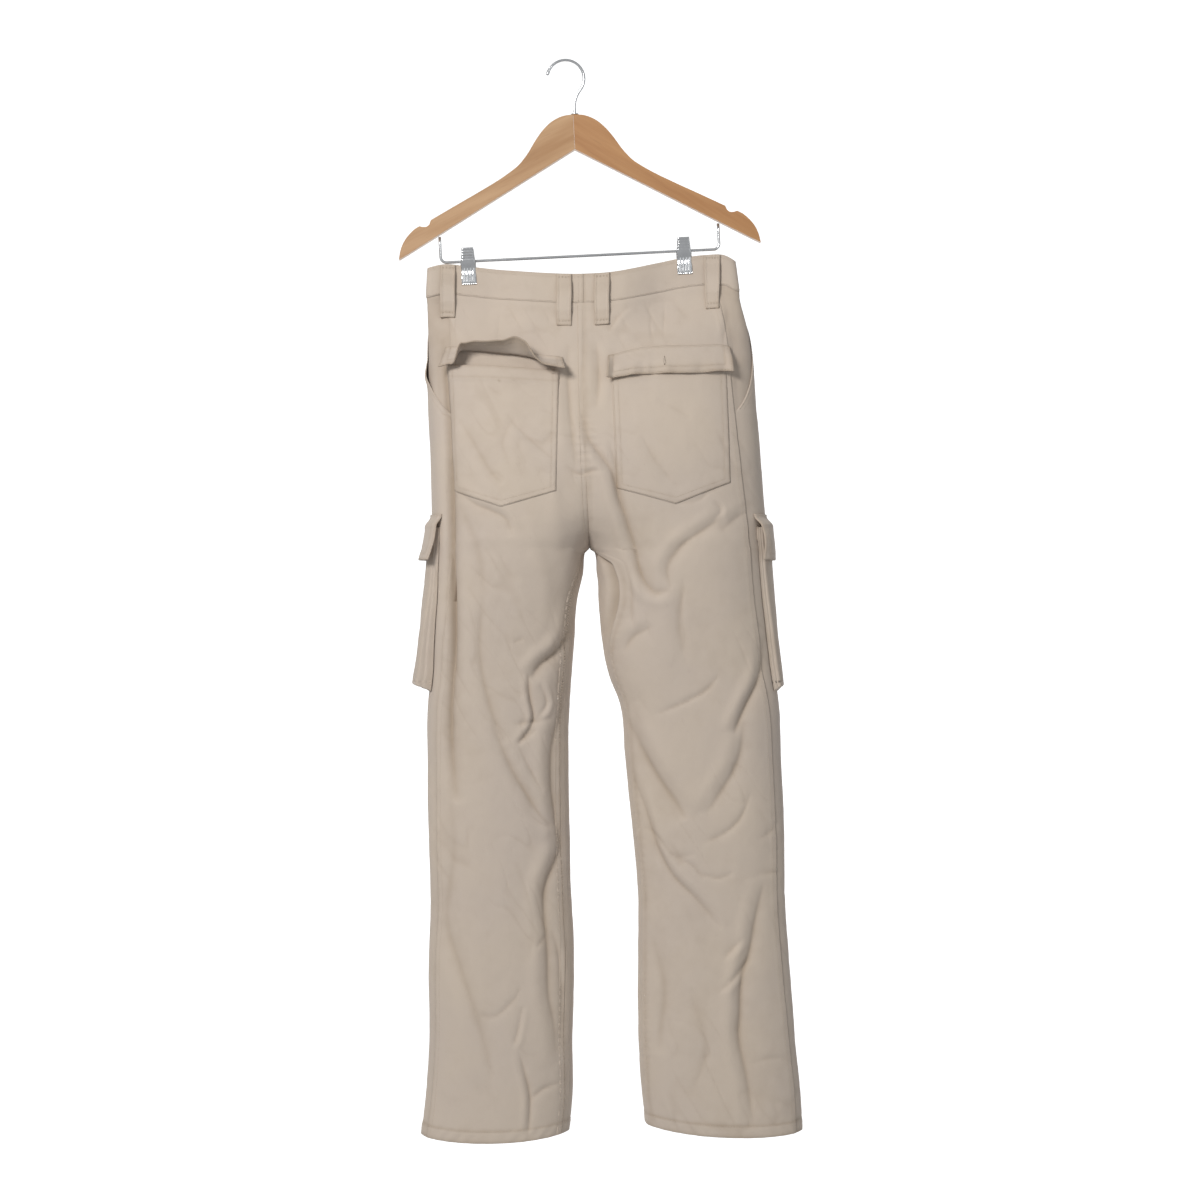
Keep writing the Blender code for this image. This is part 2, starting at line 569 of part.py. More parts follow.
def make_fly(cloth, group):
    """The fly placket, curved in at its foot, on the wearer's left front."""
    down, along = np.linspace(0, 1, 9)[:, None], np.linspace(0, 1, 4)[None, :]
    rows = PANEL_TOP + FLY_LENGTH * down + 0 * along
    width = FLY_WIDTH * np.sqrt(np.clip(1 - np.clip((down - 0.62) / 0.39, 0, 1) ** 2, 0.02, 1))
    centre = column("left_inner", rows) - 1.0
    grid = on_face("left", "front", centre - width * along, rows)
    normal = normals(grid, TOWARDS["front"])
    sewn = PANEL_WALL / 2 + SEAM_GAP + POCKET_WALL / 2 + 0.3
    grid = clear_of(grid + sewn * normal, normal, POCKET_WALL, ["front_left"])
    sheet("fly_placket", grid, POCKET_WALL, cloth, group)


def make_button(material, group):
    """The waist button, standing on the front waistband beside the opening."""
    row = WAIST_DROP + BAND_HEIGHT / 2
    x = column("left_inner", row) - 14.0
    place = on_face("left", "front", np.array([[x - 2, x, x + 2]] * 3), np.array([[row - 2] * 3, [row] * 3, [row + 2] * 3]))
    normal = normals(place, TOWARDS["front"])[1, 1]
    mesh = bpy.data.meshes.new("waist_button")
    shape = bmesh.new()
    bmesh.ops.create_cone(
        shape, cap_ends=True, segments=20, radius1=BUTTON_RADIUS * MM, radius2=BUTTON_RADIUS * 0.9 * MM,
        depth=BUTTON_HEIGHT * MM,
    )
    shape.to_mesh(mesh)
    shape.free()
    mesh.materials.append(material)
    obj = bpy.data.objects.new("waist_button", mesh)
    group.objects.link(obj)
    stand = BAND_WALL / 2 + SEAM_GAP + 0.6 + BUTTON_HEIGHT / 2
    obj.location = Vector((place[1, 1] + stand * normal) * MM)
    obj.rotation_euler = Vector(normal).to_track_quat("Z", "Y").to_euler()


def hanger_frame(group):
    """An empty at the foot of the hook, tilted as the hanger hangs, placed so that the crown's inside is the origin."""
    empty = bpy.data.objects.new("hanger", None)
    group.objects.link(empty)
    turn = Matrix.Rotation(HANGER_TILT, 4, "Y")
    centre = turn @ Vector((HOOK_CENTRE[0], 0, HOOK_CENTRE[1]))
    empty.matrix_world = Matrix.Translation((-centre - Vector((0, 0, HOOK_RADIUS - HOOK_WIRE / 2))) * MM) @ turn
    return empty


def wire(name, points, diameter, material, group, parent):
    """A round wire along points (x, z) of the hanger's plane."""
    curve = bpy.data.curves.new(name, "CURVE")
    curve.dimensions = "3D"
    curve.bevel_depth = diameter / 2 * MM
    curve.bevel_resolution = 2
    curve.use_fill_caps = True
    line = curve.splines.new("POLY")
    line.points.add(len(points) - 1)
    for spot, (x, z) in zip(line.points, points, strict=True):
        spot.co = (x * MM, 0.0, z * MM, 1.0)
    curve.materials.append(material)
    obj = bpy.data.objects.new(name, curve)
    group.objects.link(obj)
    obj.parent = parent
    return obj


def arc(centre, radius, start, end, steps):
    angles = np.radians(np.linspace(start, end, steps + 1))
    return [(centre[0] + radius * math.cos(a), centre[1] + radius * math.sin(a)) for a in angles]


def make_hook(steel, group, parent):
    """The hook: a stem, a swan neck that leads out to the side, and a round crown that ends past its far side."""
    leave = -40.0
    crown = arc(HOOK_CENTRE, HOOK_RADIUS, 168, leave, 20)
    end = crown[-1]
    swan_centre = (
        end[0] + HOOK_SWAN_RADIUS * math.cos(math.radians(leave)),
        end[1] + HOOK_SWAN_RADIUS * math.sin(math.radians(leave)),
    )
    swan = arc(swan_centre, HOOK_SWAN_RADIUS, 180 + leave, 180, 6)[1:]
    stem = [(swan[-1][0], 0.5)]
    wire("hanger_hook", crown + swan + stem, HOOK_WIRE, steel, group, parent)


def make_bar(steel, group, parent):
    """The trouser bar: one wire with a short leg up to each arm."""
    level = -BAR_DROP
    foot = ARM_UNDERSIDE[0] + ARM_UNDERSIDE[1] * BAR_HALF_SPAN - BAR_WIRE / 2 - 0.6
    inner = BAR_HALF_SPAN - BAR_CORNER
    left = arc((-inner, level + BAR_CORNER), BAR_CORNER, 180, 270, 5)
    right = arc((inner, level + BAR_CORNER), BAR_CORNER, 270, 360, 5)
    points = [(-BAR_HALF_SPAN, foot), *left, *right, (BAR_HALF_SPAN, foot)]
    wire("hanger_bar", points, BAR_WIRE, steel, group, parent)


def make_wood(wood, group, parent):
    """Two arms mitred together under the hook, each notched near its tip for straps."""
    shoulder = [(0, 0), (14, -1.8), (28, -8.5), (38, -17.5), (46.5, -28), (59.8, -47.6), (70, -59), (82, -67.8),
                (97, -77), (116, -87.3), (154, -107), (180.3, -120.8)]
    notch = [(182.3, -125.8), (185.5, -128.4), (190, -128.7), (194.8, -127.6)]
    tip = [(201, -131), (206.4, -135.8), (212, -142), (216, -148.2), (219.5, -157), (221.6, -167.0)]
    underside = [(221.6, ARM_UNDERSIDE[0] + ARM_UNDERSIDE[1] * 221.6 + 0.3), (0, ARM_UNDERSIDE[0])]
    half_gap = SEAM_GAP / 2
    for side, sign in (("left", -1), ("right", 1)):
        outline = [(sign * max(x, half_gap), z) for x, z in shoulder + notch + tip + underside]
        mesh = bpy.data.meshes.new("hanger_arm_" + side)
        shape = bmesh.new()
        corners = [shape.verts.new((x * MM, 0.0, z * MM)) for x, z in outline]
        shape.faces.new(corners)
        bmesh.ops.recalc_face_normals(shape, faces=shape.faces)
        shape.to_mesh(mesh)
        shape.free()
        mesh.materials.append(wood)
        obj = bpy.data.objects.new("hanger_arm_" + side, mesh)
        group.objects.link(obj)
        obj.parent = parent
        thick = obj.modifiers.new("thickness", "SOLIDIFY")
        thick.thickness = WOOD_THICKNESS * MM
        thick.offset = 0.0
        edge = obj.modifiers.new("rounded edges", "BEVEL")
        edge.width = 2.4 * MM
        edge.segments = 2
        edge.limit_method = "ANGLE"
        edge.angle_limit = math.radians(70)


def make_clips(steel, group, parent):
    """Two spring clips on the bar: each has two pressed plates and the spring's coil round the bar."""
    closed = BAND_WALL + PINCH_CLEAR - BAND_WALL / 2 + SEAM_GAP + CLIP_METAL / 2
    # Height from the bar's middle, and distance from the hanger's plane, of a plate's middle.
    profile = [(-28.7, closed), (-17, closed), (-8, closed + 0.2), (-3, closed + 2.6), (2.5, closed + 3.6),
               (8, closed + 4.8), (15.9, closed + 8.2)]
    widths = [CLIP_WIDTH, CLIP_WIDTH, CLIP_WIDTH, CLIP_WIDTH, CLIP_WIDTH * 0.9, CLIP_WIDTH * 0.82, CLIP_WIDTH * 0.76]
    for side, place in CLIP_PLACES.items():
        for face, sign in (("back", -1), ("front", 1)):
            grid = np.array([
                [(place + width * across, sign * out, height - BAR_DROP) for across in (-0.5, -0.2, 0.2, 0.5)]
                for (height, out), width in zip(profile, widths, strict=True)
            ])
            plate = sheet(f"hanger_clip_{side}_{face}", grid, CLIP_METAL, steel, group)
            plate.parent = parent
        ring = bpy.data.meshes.new(f"hanger_clip_{side}_spring")
        coil_width, inner, outer = 9.0, BAR_WIRE / 2 + 0.4, BAR_WIRE / 2 + 1.5
        loop = [(inner, coil_width / 2), (outer, coil_width / 2), (outer, -coil_width / 2), (inner, -coil_width / 2)]
        ring.from_pydata(
            [(along * MM, 0.0, radius * MM) for radius, along in loop], [(0, 1), (1, 2), (2, 3), (3, 0)], []
        )
        ring.materials.append(steel)
        coil = bpy.data.objects.new(ring.name, ring)
        group.objects.link(coil)
        coil.parent = parent
        coil.location = (place * MM, 0.0, -BAR_DROP * MM)
        turned = coil.modifiers.new("turned", "SCREW")
        turned.axis = "X"
        turned.angle = 2 * math.pi
        turned.steps = turned.render_steps = 16
        turned.use_merge_vertices = True
        turned.merge_threshold = 0.00001


def main():
    clear_scene()
    group = collection_named("cargo_trousers_on_hanger")
    cloth = material_of("stone_cotton", (0.56, 0.47, 0.37), 0.9)
    wood = material_of("lacquered_wood", (0.60, 0.31, 0.12), 0.35)
    steel = material_of("chromed_steel", (0.80, 0.82, 0.85), 0.15, 1.0)
    horn = material_of("button", (0.45, 0.36, 0.26), 0.4)
    make_legs(cloth, group)
    make_waistband(cloth, group)
    make_belt_loops(cloth, group)
    make_back_pockets(cloth, group)
    make_back_flaps(cloth, group)
    make_cargo_pockets(cloth, group)
    make_cargo_flaps(cloth, group)
    make_front_pockets(cloth, group)
    make_fly(cloth, group)
    make_button(horn, group)
    hanger = hanger_frame(group)
    make_hook(steel, group, hanger)
    make_bar(steel, group, hanger)
    make_wood(wood, group, hanger)
    make_clips(steel, group, hanger)


main()
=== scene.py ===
"""Cargo trousers hanging by the waistband from a wooden clip hanger, seen from behind.

The frame is in metres, +Z up, with its origin at the inside of the hook's crown. The back of the trousers faces -Y
and -X is the wearer's left. Cloth is worked out in millimetres: a drop is how far a point lies below the origin.
"""

import math

import bpy
import numpy as np
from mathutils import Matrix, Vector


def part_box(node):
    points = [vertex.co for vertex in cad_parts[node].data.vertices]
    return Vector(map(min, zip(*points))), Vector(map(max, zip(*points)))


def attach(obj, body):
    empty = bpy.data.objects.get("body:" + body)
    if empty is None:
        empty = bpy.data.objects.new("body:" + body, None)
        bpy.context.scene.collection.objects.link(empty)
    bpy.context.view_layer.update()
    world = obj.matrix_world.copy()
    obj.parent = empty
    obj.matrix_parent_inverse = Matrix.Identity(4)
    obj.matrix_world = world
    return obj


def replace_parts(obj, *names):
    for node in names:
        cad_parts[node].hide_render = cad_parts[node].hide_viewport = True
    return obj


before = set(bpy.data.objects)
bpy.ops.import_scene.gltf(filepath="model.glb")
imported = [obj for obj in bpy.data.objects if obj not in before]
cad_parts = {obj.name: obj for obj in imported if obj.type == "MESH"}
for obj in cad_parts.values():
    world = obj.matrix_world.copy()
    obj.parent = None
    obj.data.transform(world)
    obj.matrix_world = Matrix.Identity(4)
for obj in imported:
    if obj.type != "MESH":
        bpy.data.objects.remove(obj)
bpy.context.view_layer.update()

# -----------------------------------------------------------------------------------------------------------
# Leg panels: a back and a front for each leg, cut from cotton twill. The side seams are felled, with the back
# lapped over the front, the inseams and the seat are sewn the same way, and each hem is turned up once inside.
# -----------------------------------------------------------------------------------------------------------

MM = 0.001
WALL = 0.8                  # one layer of twill
WAIST, BAND_HEIGHT, CROTCH, KNEE, HEM = 250.0, 36.0, 597.0, 850.0, 1309.0
ROUNDNESS = 2.3             # exponent of the leg sections: 2 is an ellipse
HEM_TURN = 14.0             # depth of the turned hem
LAP = 8.0                   # how far the under panel runs on below a felled seam
LAP_LIFT = 0.28             # how far the lapped panel stands over the seam, and the under panel sinks

# drop, left outer, left inner, right inner, right outer, how far the halves have parted, depth behind, depth in
# front, side seam behind the edge, inseam behind the edge.
SECTIONS = np.array([
    (250, -168.5, 22.4, 22.8, 207.5, 0.00, 10, 9, 28, 0),
    (292, -170.4, 22.5, 22.9, 213.5, 0.00, 17, 16, 28, 0),
    (341, -169.6, 22.9, 23.3, 224.6, 0.00, 33, 30, 29, 0),
    (414, -168.5, 24.0, 24.4, 232.6, 0.06, 58, 52, 30, 0),
    (487, -164.9, 26.0, 26.4, 238.7, 0.21, 76, 70, 28, 0),
    (530, -163.5, 27.6, 28.2, 241.5, 0.42, 77, 72, 26, 0),
    (560, -162.4, 28.4, 29.4, 243.6, 0.66, 76, 72, 24, 0),
    (575, -162.1, 28.6, 30.0, 244.2, 0.81, 75, 72, 23, 0),
    (587, -161.9, 28.5, 30.8, 244.9, 0.935, 75, 72, 23, 0),
    (597, -161.8, 28.0, 31.6, 245.5, 1.00, 74, 71, 22, 0),
    (615, -161.8, 24.0, 36.5, 245.6, 1.00, 73, 70, 21, 3),
    (634, -161.8, 19.5, 40.5, 246.2, 1.00, 71, 69, 20, 6),
    (658, -161.8, 14.0, 41.0, 247.3, 1.00, 69, 68, 19, 8),
    (707, -163.5, 10.3, 45.0, 252.0, 1.00, 64, 64, 17, 9),
    (756, -165.5, 6.5, 54.5, 257.5, 1.00, 59, 59, 16, 9),
    (780, -167.9, 4.9, 64.1, 260.7, 1.00, 57, 57, 15, 9),
    (854, -168.5, 3.1, 72.7, 264.4, 1.00, 51, 51, 13, 9),
    (951, -167.9, 5.5, 82.4, 268.7, 1.00, 46, 46, 12, 9),
    (1025, -165.5, 6.7, 88.5, 268.7, 1.00, 44, 44, 11, 9),
    (1098, -167.9, 9.2, 88.5, 273.0, 1.00, 43, 43, 10, 9),
    (1196, -166.7, 7.9, 89.8, 281.5, 1.00, 43, 43, 9, 9),
    (1269, -171.0, 7.9, 93.4, 287.6, 1.00, 44, 44, 8, 9),
    (1309, -175.9, 4.0, 97.5, 288.8, 1.00, 45, 45, 8, 9),
], float)
COLUMNS = {"left_outer": 1, "left_inner": 2, "right_inner": 3, "right_outer": 4, "parting": 5, "back": 6,
           "front": 7, "side_seam": 8, "inseam": 9}
# The waist's upper edge, (x, drop): it hangs from the clips and sags between them.
WAIST_EDGE = np.array([
    (-168, 253.0), (-150, 249.0), (-119, 251.5), (-80, 256.0), (-30, 260.3), (23, 261.5), (60, 258.8),
    (115, 247.0), (145, 240.7), (172, 237.5), (196, 238.5), (208, 245.0),
])
HEM_EDGE = {"left": (1311.0, 1306.0), "right": (1306.0, 1297.0)}
HEM_SAG = 6.5
CLIP_PINCH_X = (-119.0, 145.0)
PINCH_FLAT, PINCH_OPENS, PINCH_DEPTH, PINCH_FADE, PINCH_CLEAR = 19.0, 60.0, 24.0, 75.0, 1.8
SLANT_WIDTH, SLANT_HEIGHT = 42.0, 150.0
CROTCH_ARCH, ARCH_REACH = 4.4, 13.0     # the inseams' pull at the crotch: how far it draws them, and its reach
DRAG, DRAG_ENDS, DRAG_FADE = 24.0, 648.0, 85.0      # how far the right inseam is dragged back, and where that ends
STITCH_ROWS = (1.6, 7.0)                # two rows of stitches beside a lapped seam

# Creases: width, depth, which side its crest stands on (+1 is towards +X on a run that goes down, 0 is none), and
# the line it follows as (x, drop). A negative depth is a ridge. Each fades out at its ends.
CREASES = {
    "back": [
        # waist
        (3.5, 2.0, 0, (-122, 290), (-73, 303), (-62, 316), (-52, 332)),
        (3, 1.2, 0, (-100, 298), (-62, 304), (-22, 307)),
        (3.5, 2.4, 1, (84, 296), (64, 314), (52, 334)),
        (3, 1.5, 0, (101, 312), (105, 297), (124, 294), (141, 290)),
        (2, 0.9, 0, (105, 306), (104, 330), (107, 350)),
        (1.8, 0.7, 0, (-79, 290), (-82, 345)),
        (1.8, 1.0, 0, (121, 292), (119, 345)),
        (4, 1.8, -1, (199, 305), (194, 333), (192, 350)),
        (8, -2.0, 0, (206, 300), (216, 360), (214, 430)),
        # hips and seat
        (7, 9.5, -1, (-150, 338), (-147, 385), (-143, 450), (-140, 525), (-138, 600)),
        (9, 12.0, -1, (-140, 490), (-139, 560), (-138, 610), (-138, 662), (-137, 725), (-140, 790), (-138, 850),
         (-131, 905)),
        (3.2, 5.5, -1, (-145, 378), (-141, 430), (-139, 500), (-138.5, 560), (-138, 620), (-136, 690),
         (-135, 750)),
        (4, 1.6, 1, (-156, 350), (-153, 420), (-152, 470)),
        (16, -2.5, 0, (-158, 380), (-152, 520), (-151, 640)),
        (8, 3.6, -1, (3, 350), (4, 400), (8, 450), (14, 505)),
        (6, 3.2, 1, (38, 345), (41, 390), (38, 430)),
        (2.6, 1.1, 0, (24, 285), (23, 347), (20, 420), (24, 470), (32, 510), (34, 600)),
        (3, 2.4, 0, (0, 499), (17, 509), (34, 505), (48, 507)),
        (6.5, 7.5, -1, (21, 432), (28, 464), (39, 481), (56, 506), (65, 541), (72, 560), (83, 601), (88, 622),
         (97, 641), (110, 651), (129, 647)),
        (4, 2.6, -1, (52, 470), (60, 495), (64, 525), (72, 556)),
        (7, 3.8, -1, (191, 559), (172, 572), (141, 594), (123, 620), (127, 646)),
        (7, 2.2, -1, (225, 549), (205, 562), (187, 577)),
        (10, -2.4, 0, (-20, 470), (-12, 540), (-8, 600)),
        # pockets
        (8, 2.6, -1, (-128, 440), (-108, 473), (-89, 505), (-74, 522)),
        (6, 2.2, -1, (-71, 436), (-54, 456), (-26, 481), (-12, 492)),
        (6, 1.6, 1, (-60, 440), (-74, 470), (-66, 500)),
        (3, 1.4, 0, (-92, 402), (-84, 410), (-74, 414)),
        (4, 1.0, 0, (-30, 432), (-8, 438)),
        (6, 1.4, 0, (110, 418), (152, 442)),
        (9, 1.8, -1, (92, 462), (110, 495), (140, 530)),
        (4, 1.8, 0, (201, 519), (173, 530), (160, 540), (128, 545)),
        (3, 1.6, 1, (178, 541), (188, 552), (176, 566)),
        (5, 3.0, 1, (-131, 526), (-108, 544), (-87, 553), (-70, 563), (-62, 583)),
        (14, 2.6, -1, (-126, 545), (-104, 600), (-96, 660)),
        # left leg
        (9, 3.6, -1, (-99, 655), (-102, 730), (-87, 797), (-71, 832)),
        (10, -2.2, 0, (-46, 560), (-24, 640), (-26, 700)),
        (8, 8.0, -1, (14, 660), (4, 700), (-9, 722), (-28, 738), (-41, 755)),
        (3.5, 5.0, -1, (-44, 748), (-42, 775), (-38, 806), (-56, 833)),
        (3, 3.0, 1, (-30, 760), (-22, 784), (-34, 803)),
        (3, 2.6, 0, (-62, 809), (-37, 806), (-14, 802)),
        (3, 3.2, 0, (-59, 834), (-34, 815)),
        (2.6, 1.6, 0, (-62, 711), (-48, 705)),
        (9, 7.0, -1, (-2, 731), (-7, 762), (-3, 787), (-14, 834), (-15, 881), (-9, 928), (-5, 962), (-22, 1005),
         (-24, 1038), (-20, 1084), (-19, 1136), (-12, 1176), (-9, 1225)),
        (4, 3.8, 1, (-15, 1060), (-6, 1094), (-3, 1143), (-4, 1209)),
        (8, 5.0, -1, (-88, 808), (-65, 862), (-46, 894), (-28, 922), (-12, 936)),
        (5, 3.0, -1, (-56, 836), (-40, 868), (-27, 892)),
        (3.5, 2.0, 0, (-49, 913), (-29, 930), (-17, 935)),
        (12, 3.0, -1, (-140, 890), (-134, 960), (-144, 1045), (-127, 1104), (-108, 1160), (-94, 1209),
         (-87, 1240)),
        (4, 2.0, 0, (-105, 1160), (-85, 1163), (-62, 1143), (-54, 1128)),
        (3.5, 2.4, 1, (-51, 1150), (-58, 1186), (-63, 1198)),
        (4, 4.2, -1, (-56, 1205), (-45, 1245), (-42, 1268), (-45, 1312)),
        (3, 2.6, 0, (-42, 1265), (-26, 1251), (-4, 1245)),
        (3, 1.8, 0, (-36, 1081), (-23, 1067)),
        (10, 1.8, 0, (-60, 970), (-40, 1040), (-42, 1100)),
        # right leg
        (4, 2.4, 1, (69, 603), (79, 640), (80, 672), (82, 694)),
        (7, 3.0, 1, (70, 722), (82, 704), (107, 690)),
        (3, 1.4, 0, (96, 672), (101, 697), (108, 715)),
        (3, 1.2, 0, (144, 640), (140, 672), (146, 712)),
        (9, 2.4, -1, (142, 630), (137, 687), (146, 735)),
        (7, 6.5, -1, (241, 700), (236, 750), (220, 784), (209, 808), (203, 822)),
        (9, 4.5, -1, (216, 806), (210, 850), (194, 882), (168, 920)),
        (3.5, 2.8, 0, (108, 798), (141, 784), (170, 768), (186, 748)),
        (10, 5.6, 1, (68, 790), (91, 837), (113, 875), (135, 906), (146, 925)),
        (5, 4.4, 1, (76, 855), (96, 910), (111, 957), (130, 992), (158, 1020), (190, 1056)),
        (4.5, 2.8, 0, (224, 892), (213, 921), (194, 940), (166, 953)),
        (3, 2.2, 0, (88, 931), (110, 944), (132, 968), (160, 966)),
        (3.5, 2.2, 0, (125, 969), (152, 979), (168, 998)),
        (3, 2.0, 0, (158, 989), (185, 995), (205, 988)),
        (4, 1.8, 0, (270, 914), (252, 938), (232, 950)),
        (8, 6.5, -1, (241, 1000), (231, 1044), (224, 1084), (214, 1117), (212, 1160), (211, 1192), (221, 1242),
         (228, 1300)),
        (4, 2.0, 0, (232, 992), (256, 990), (272, 992)),
        (4, 2.4, 1, (215, 1068), (191, 1094)),
        (4, 2.6, 1, (224, 1092), (204, 1117), (186, 1134)),
        (11, 3.0, -1, (102, 1060), (119, 1123), (116, 1176), (112, 1210)),
        (4, -1.6, 0, (118, 1256), (132, 1292)),
        (3, 1.4, 0, (226, 1219), (256, 1214), (280, 1224)),
        (12, 2.0, 0, (150, 1130), (170, 1200), (150, 1260)),
    ],
    "front": [
        (12, 7.0, 1, (22, 450), (52, 520), (84, 690)),
        (12, 6.0, -1, (24, 460), (-22, 540), (-58, 700)),
        (7, 3.0, 0, (-4, 500), (26, 506), (50, 498)),
        (9, 3.6, -1, (-110, 420), (-60, 470), (-12, 490)),
        (9, 3.2, 1, (180, 410), (120, 470), (62, 492)),
        (8, 3.0, 0, (-96, 330), (-60, 372), (-22, 384)),
        (8, 2.6, 0, (166, 322), (120, 366), (80, 380)),
        (15, 6.0, 1, (-120, 760), (-66, 826), (-18, 985)),
        (6, 4.0, 0, (-90, 812), (-48, 800), (-14, 822)),
        (5, 3.2, 0, (-70, 850), (-40, 842), (-12, 858)),
        (15, 6.0, -1, (228, 790), (170, 880), (112, 1000)),
        (6, 3.6, 0, (196, 838), (150, 826), (104, 846)),
        (5, 3.0, 0, (180, 872), (140, 866), (110, 884)),
        (12, 5.0, -1, (-120, 900), (-104, 1040), (-112, 1190)),
        (12, 5.0, 1, (214, 940), (230, 1080), (222, 1250)),
        (9, 3.4, 1, (-30, 1040), (-44, 1150), (-30, 1280)),
        (9, 3.4, -1, (130, 1060), (146, 1160), (132, 1286)),
        (5, 2.2, 0, (-96, 1200), (-56, 1212)),
        (5, 2.2, 0, (190, 1180), (150, 1196)),
    ],
}


def through(xs, ys, at):
    """A smooth curve through the points: a cubic between neighbours, its slopes those of the neighbours' chord."""
    xs, ys, at = np.asarray(xs, float), np.asarray(ys, float), np.asarray(at, float)
    slopes = np.gradient(ys, xs)
    at = np.clip(at, xs[0], xs[-1])
    i = np.clip(np.searchsorted(xs, at) - 1, 0, len(xs) - 2)
    step = xs[i + 1] - xs[i]
    t = (at - xs[i]) / step
    return ((2 * t**3 - 3 * t**2 + 1) * ys[i] + (t**3 - 2 * t**2 + t) * step * slopes[i]
            + (3 * t**2 - 2 * t**3) * ys[i + 1] + (t**3 - t**2) * step * slopes[i + 1])


def column(name, row):
    """One measure of the leg section at a row."""
    return through(SECTIONS[:, 0], SECTIONS[:, COLUMNS[name]], row)


def eased(t):
    """0 below 0, 1 above 1, and a smooth step between."""
    t = np.clip(t, 0.0, 1.0)
    return t * t * (3 - 2 * t)


def bell(t):
    """A round hump of height 1 about 0, nearly gone at 2."""
    return np.exp(-t * t)


def rounded(value, power):
    """The power of a value's size, with its sign kept."""
    return np.sign(value) * np.abs(value) ** power


def half_tube(side, row):
    """Centre and signed half-width of the leg, or of this half of the hips, at a row."""
    outer, inner = column(side + "_outer", row), column(side + "_inner", row)
    half = (inner - outer) / (1 + np.clip(column("parting", row), 0, 1))
    return outer + half, half


def drop_at(side, x, row):
    """The true drop of a point: rows near the waist follow its sagging edge, rows near the hem follow the hem."""
    upper = 1 - eased((row - WAIST) / (CROTCH - WAIST))
    outer, inner = column(side + "_outer", row), column(side + "_inner", row)
    across = np.clip((x - outer) / (inner - outer), 0, 1)
    hem = HEM_EDGE[side][0] * (1 - across) + HEM_EDGE[side][1] * across + HEM_SAG * 4 * across * (1 - across)
    lower = np.clip((row - KNEE) / (HEM - KNEE), 0, 1)
    return row + (through(*WAIST_EDGE.T, x) - WAIST) * upper + (hem - HEM) * lower


def smooth_cloth(side, row, angle):
    """The unwrinkled middle of the cloth at a row and an angle round the leg: a rounded section as wide and deep
    as the tables say, pressed flat under the clips. 0 is the outer edge, +90 degrees behind, 180 the inner edge."""
    centre, half = half_tube(side, row)
    across, out = rounded(np.cos(angle), 2 / ROUNDNESS), rounded(np.sin(angle), 2 / ROUNDNESS)
    x = centre - half * across
    arch = CROTCH_ARCH * eased((row - CROTCH) / 4) * (1 - eased((row - CROTCH - 5) / 28))
    x = x - np.sign(half) * arch * bell((x - centre - half) / ARCH_REACH)
    depth = np.where(out > 0, column("back", row), column("front", row))
    pinch = sum(1 - eased((np.abs(x - place) - PINCH_FLAT) / PINCH_OPENS) for place in CLIP_PINCH_X)
    pinch = pinch * (1 - eased((row - WAIST - PINCH_DEPTH) / PINCH_FADE))
    stand = depth * np.abs(out) * (1 - pinch) + PINCH_CLEAR * np.clip(3 * np.abs(out), 0, 1)
    return np.stack([x, np.where(out > 0, -stand, stand), -drop_at(side, x, row)], axis=-1)


def facing(side, row, angle):
    """The cloth's outward direction: across the slopes of the smooth surface along the row and down the leg."""
    round_it = smooth_cloth(side, row, angle + 0.02) - smooth_cloth(side, row, angle - 0.02)
    down = smooth_cloth(side, row + 1.5, angle) - smooth_cloth(side, row - 1.5, angle)
    out = np.cross(down, round_it) * (1 if side == "left" else -1)
    return out / np.maximum(np.linalg.norm(out, axis=-1, keepdims=True), 1e-9)


def side_angle(side, row):
    """The angle of the side seam."""
    half = np.abs(half_tube(side, row)[1])
    return np.arccos((1 - column("side_seam", row) / half) ** (ROUNDNESS / 2))


def back_end(side, row):
    """The angle where the back panel ends: the seat seam above the crotch, the inseam below it. Below the crotch
    the right leg's inseam is dragged back."""
    half = np.abs(half_tube(side, row)[1])
    dragged = DRAG * eased((row - CROTCH) / 20) * (1 - eased((row - DRAG_ENDS) / DRAG_FADE)) * (side == "right")
    reach = np.clip(column("parting", row), 0, 1) - (np.clip(column("inseam", row), 0, None) + dragged) / half
    return np.arccos(-np.clip(reach, 0, 1) ** (ROUNDNESS / 2))


def front_end(side, row):
    """The angle where the front panel ends: the fly seam above the crotch, the inseam below it."""
    seam = -np.arccos(-np.clip(column("parting", row), 0, 1) ** (ROUNDNESS / 2))
    return np.where(row <= CROTCH, seam, back_end(side, row) - 2 * math.pi)


def angle_at(side, x, row, face):
    """The angle of the point of one face that stands at x."""
    centre, half = half_tube(side, row)
    angle = np.arccos(rounded(np.clip((centre - x) / half, -1, 1), ROUNDNESS / 2))
    return angle if face == "back" else -angle


def walk(side, rows, last):
    """Fine steps round each row from a little before the side seam to a little past the seam called last: their
    angles, their distances from the side seam, and each row's distance to the last seam."""
    first, last = side_angle(side, rows), last(side, rows)
    share = np.linspace(0, 1, 260)
    over = 0.35 * np.sign(last - first)
    angles = (first - over)[:, None] + share * (last - first + 2 * over)[:, None]
    steps = np.linalg.norm(np.diff(smooth_cloth(side, rows[:, None] + 0 * angles, angles), axis=1), axis=2)
    run = np.concatenate([np.zeros((len(rows), 1)), np.cumsum(steps, axis=1)], axis=1)
    direction = np.sign(last - first)
    starts = np.array([np.interp(f * s, a * s, r) for f, s, a, r in zip(first, direction, angles, run)])
    ends = np.array([np.interp(f * s, a * s, r) for f, s, a, r in zip(last, direction, angles, run)])
    return angles, run - starts[:, None], ends - starts


def at_distances(walked, want):
    """The angles that lie at the wanted distances along each walked row."""
    return np.array([np.interp(w, r, a) for w, r, a in zip(want, walked[1], walked[0])])


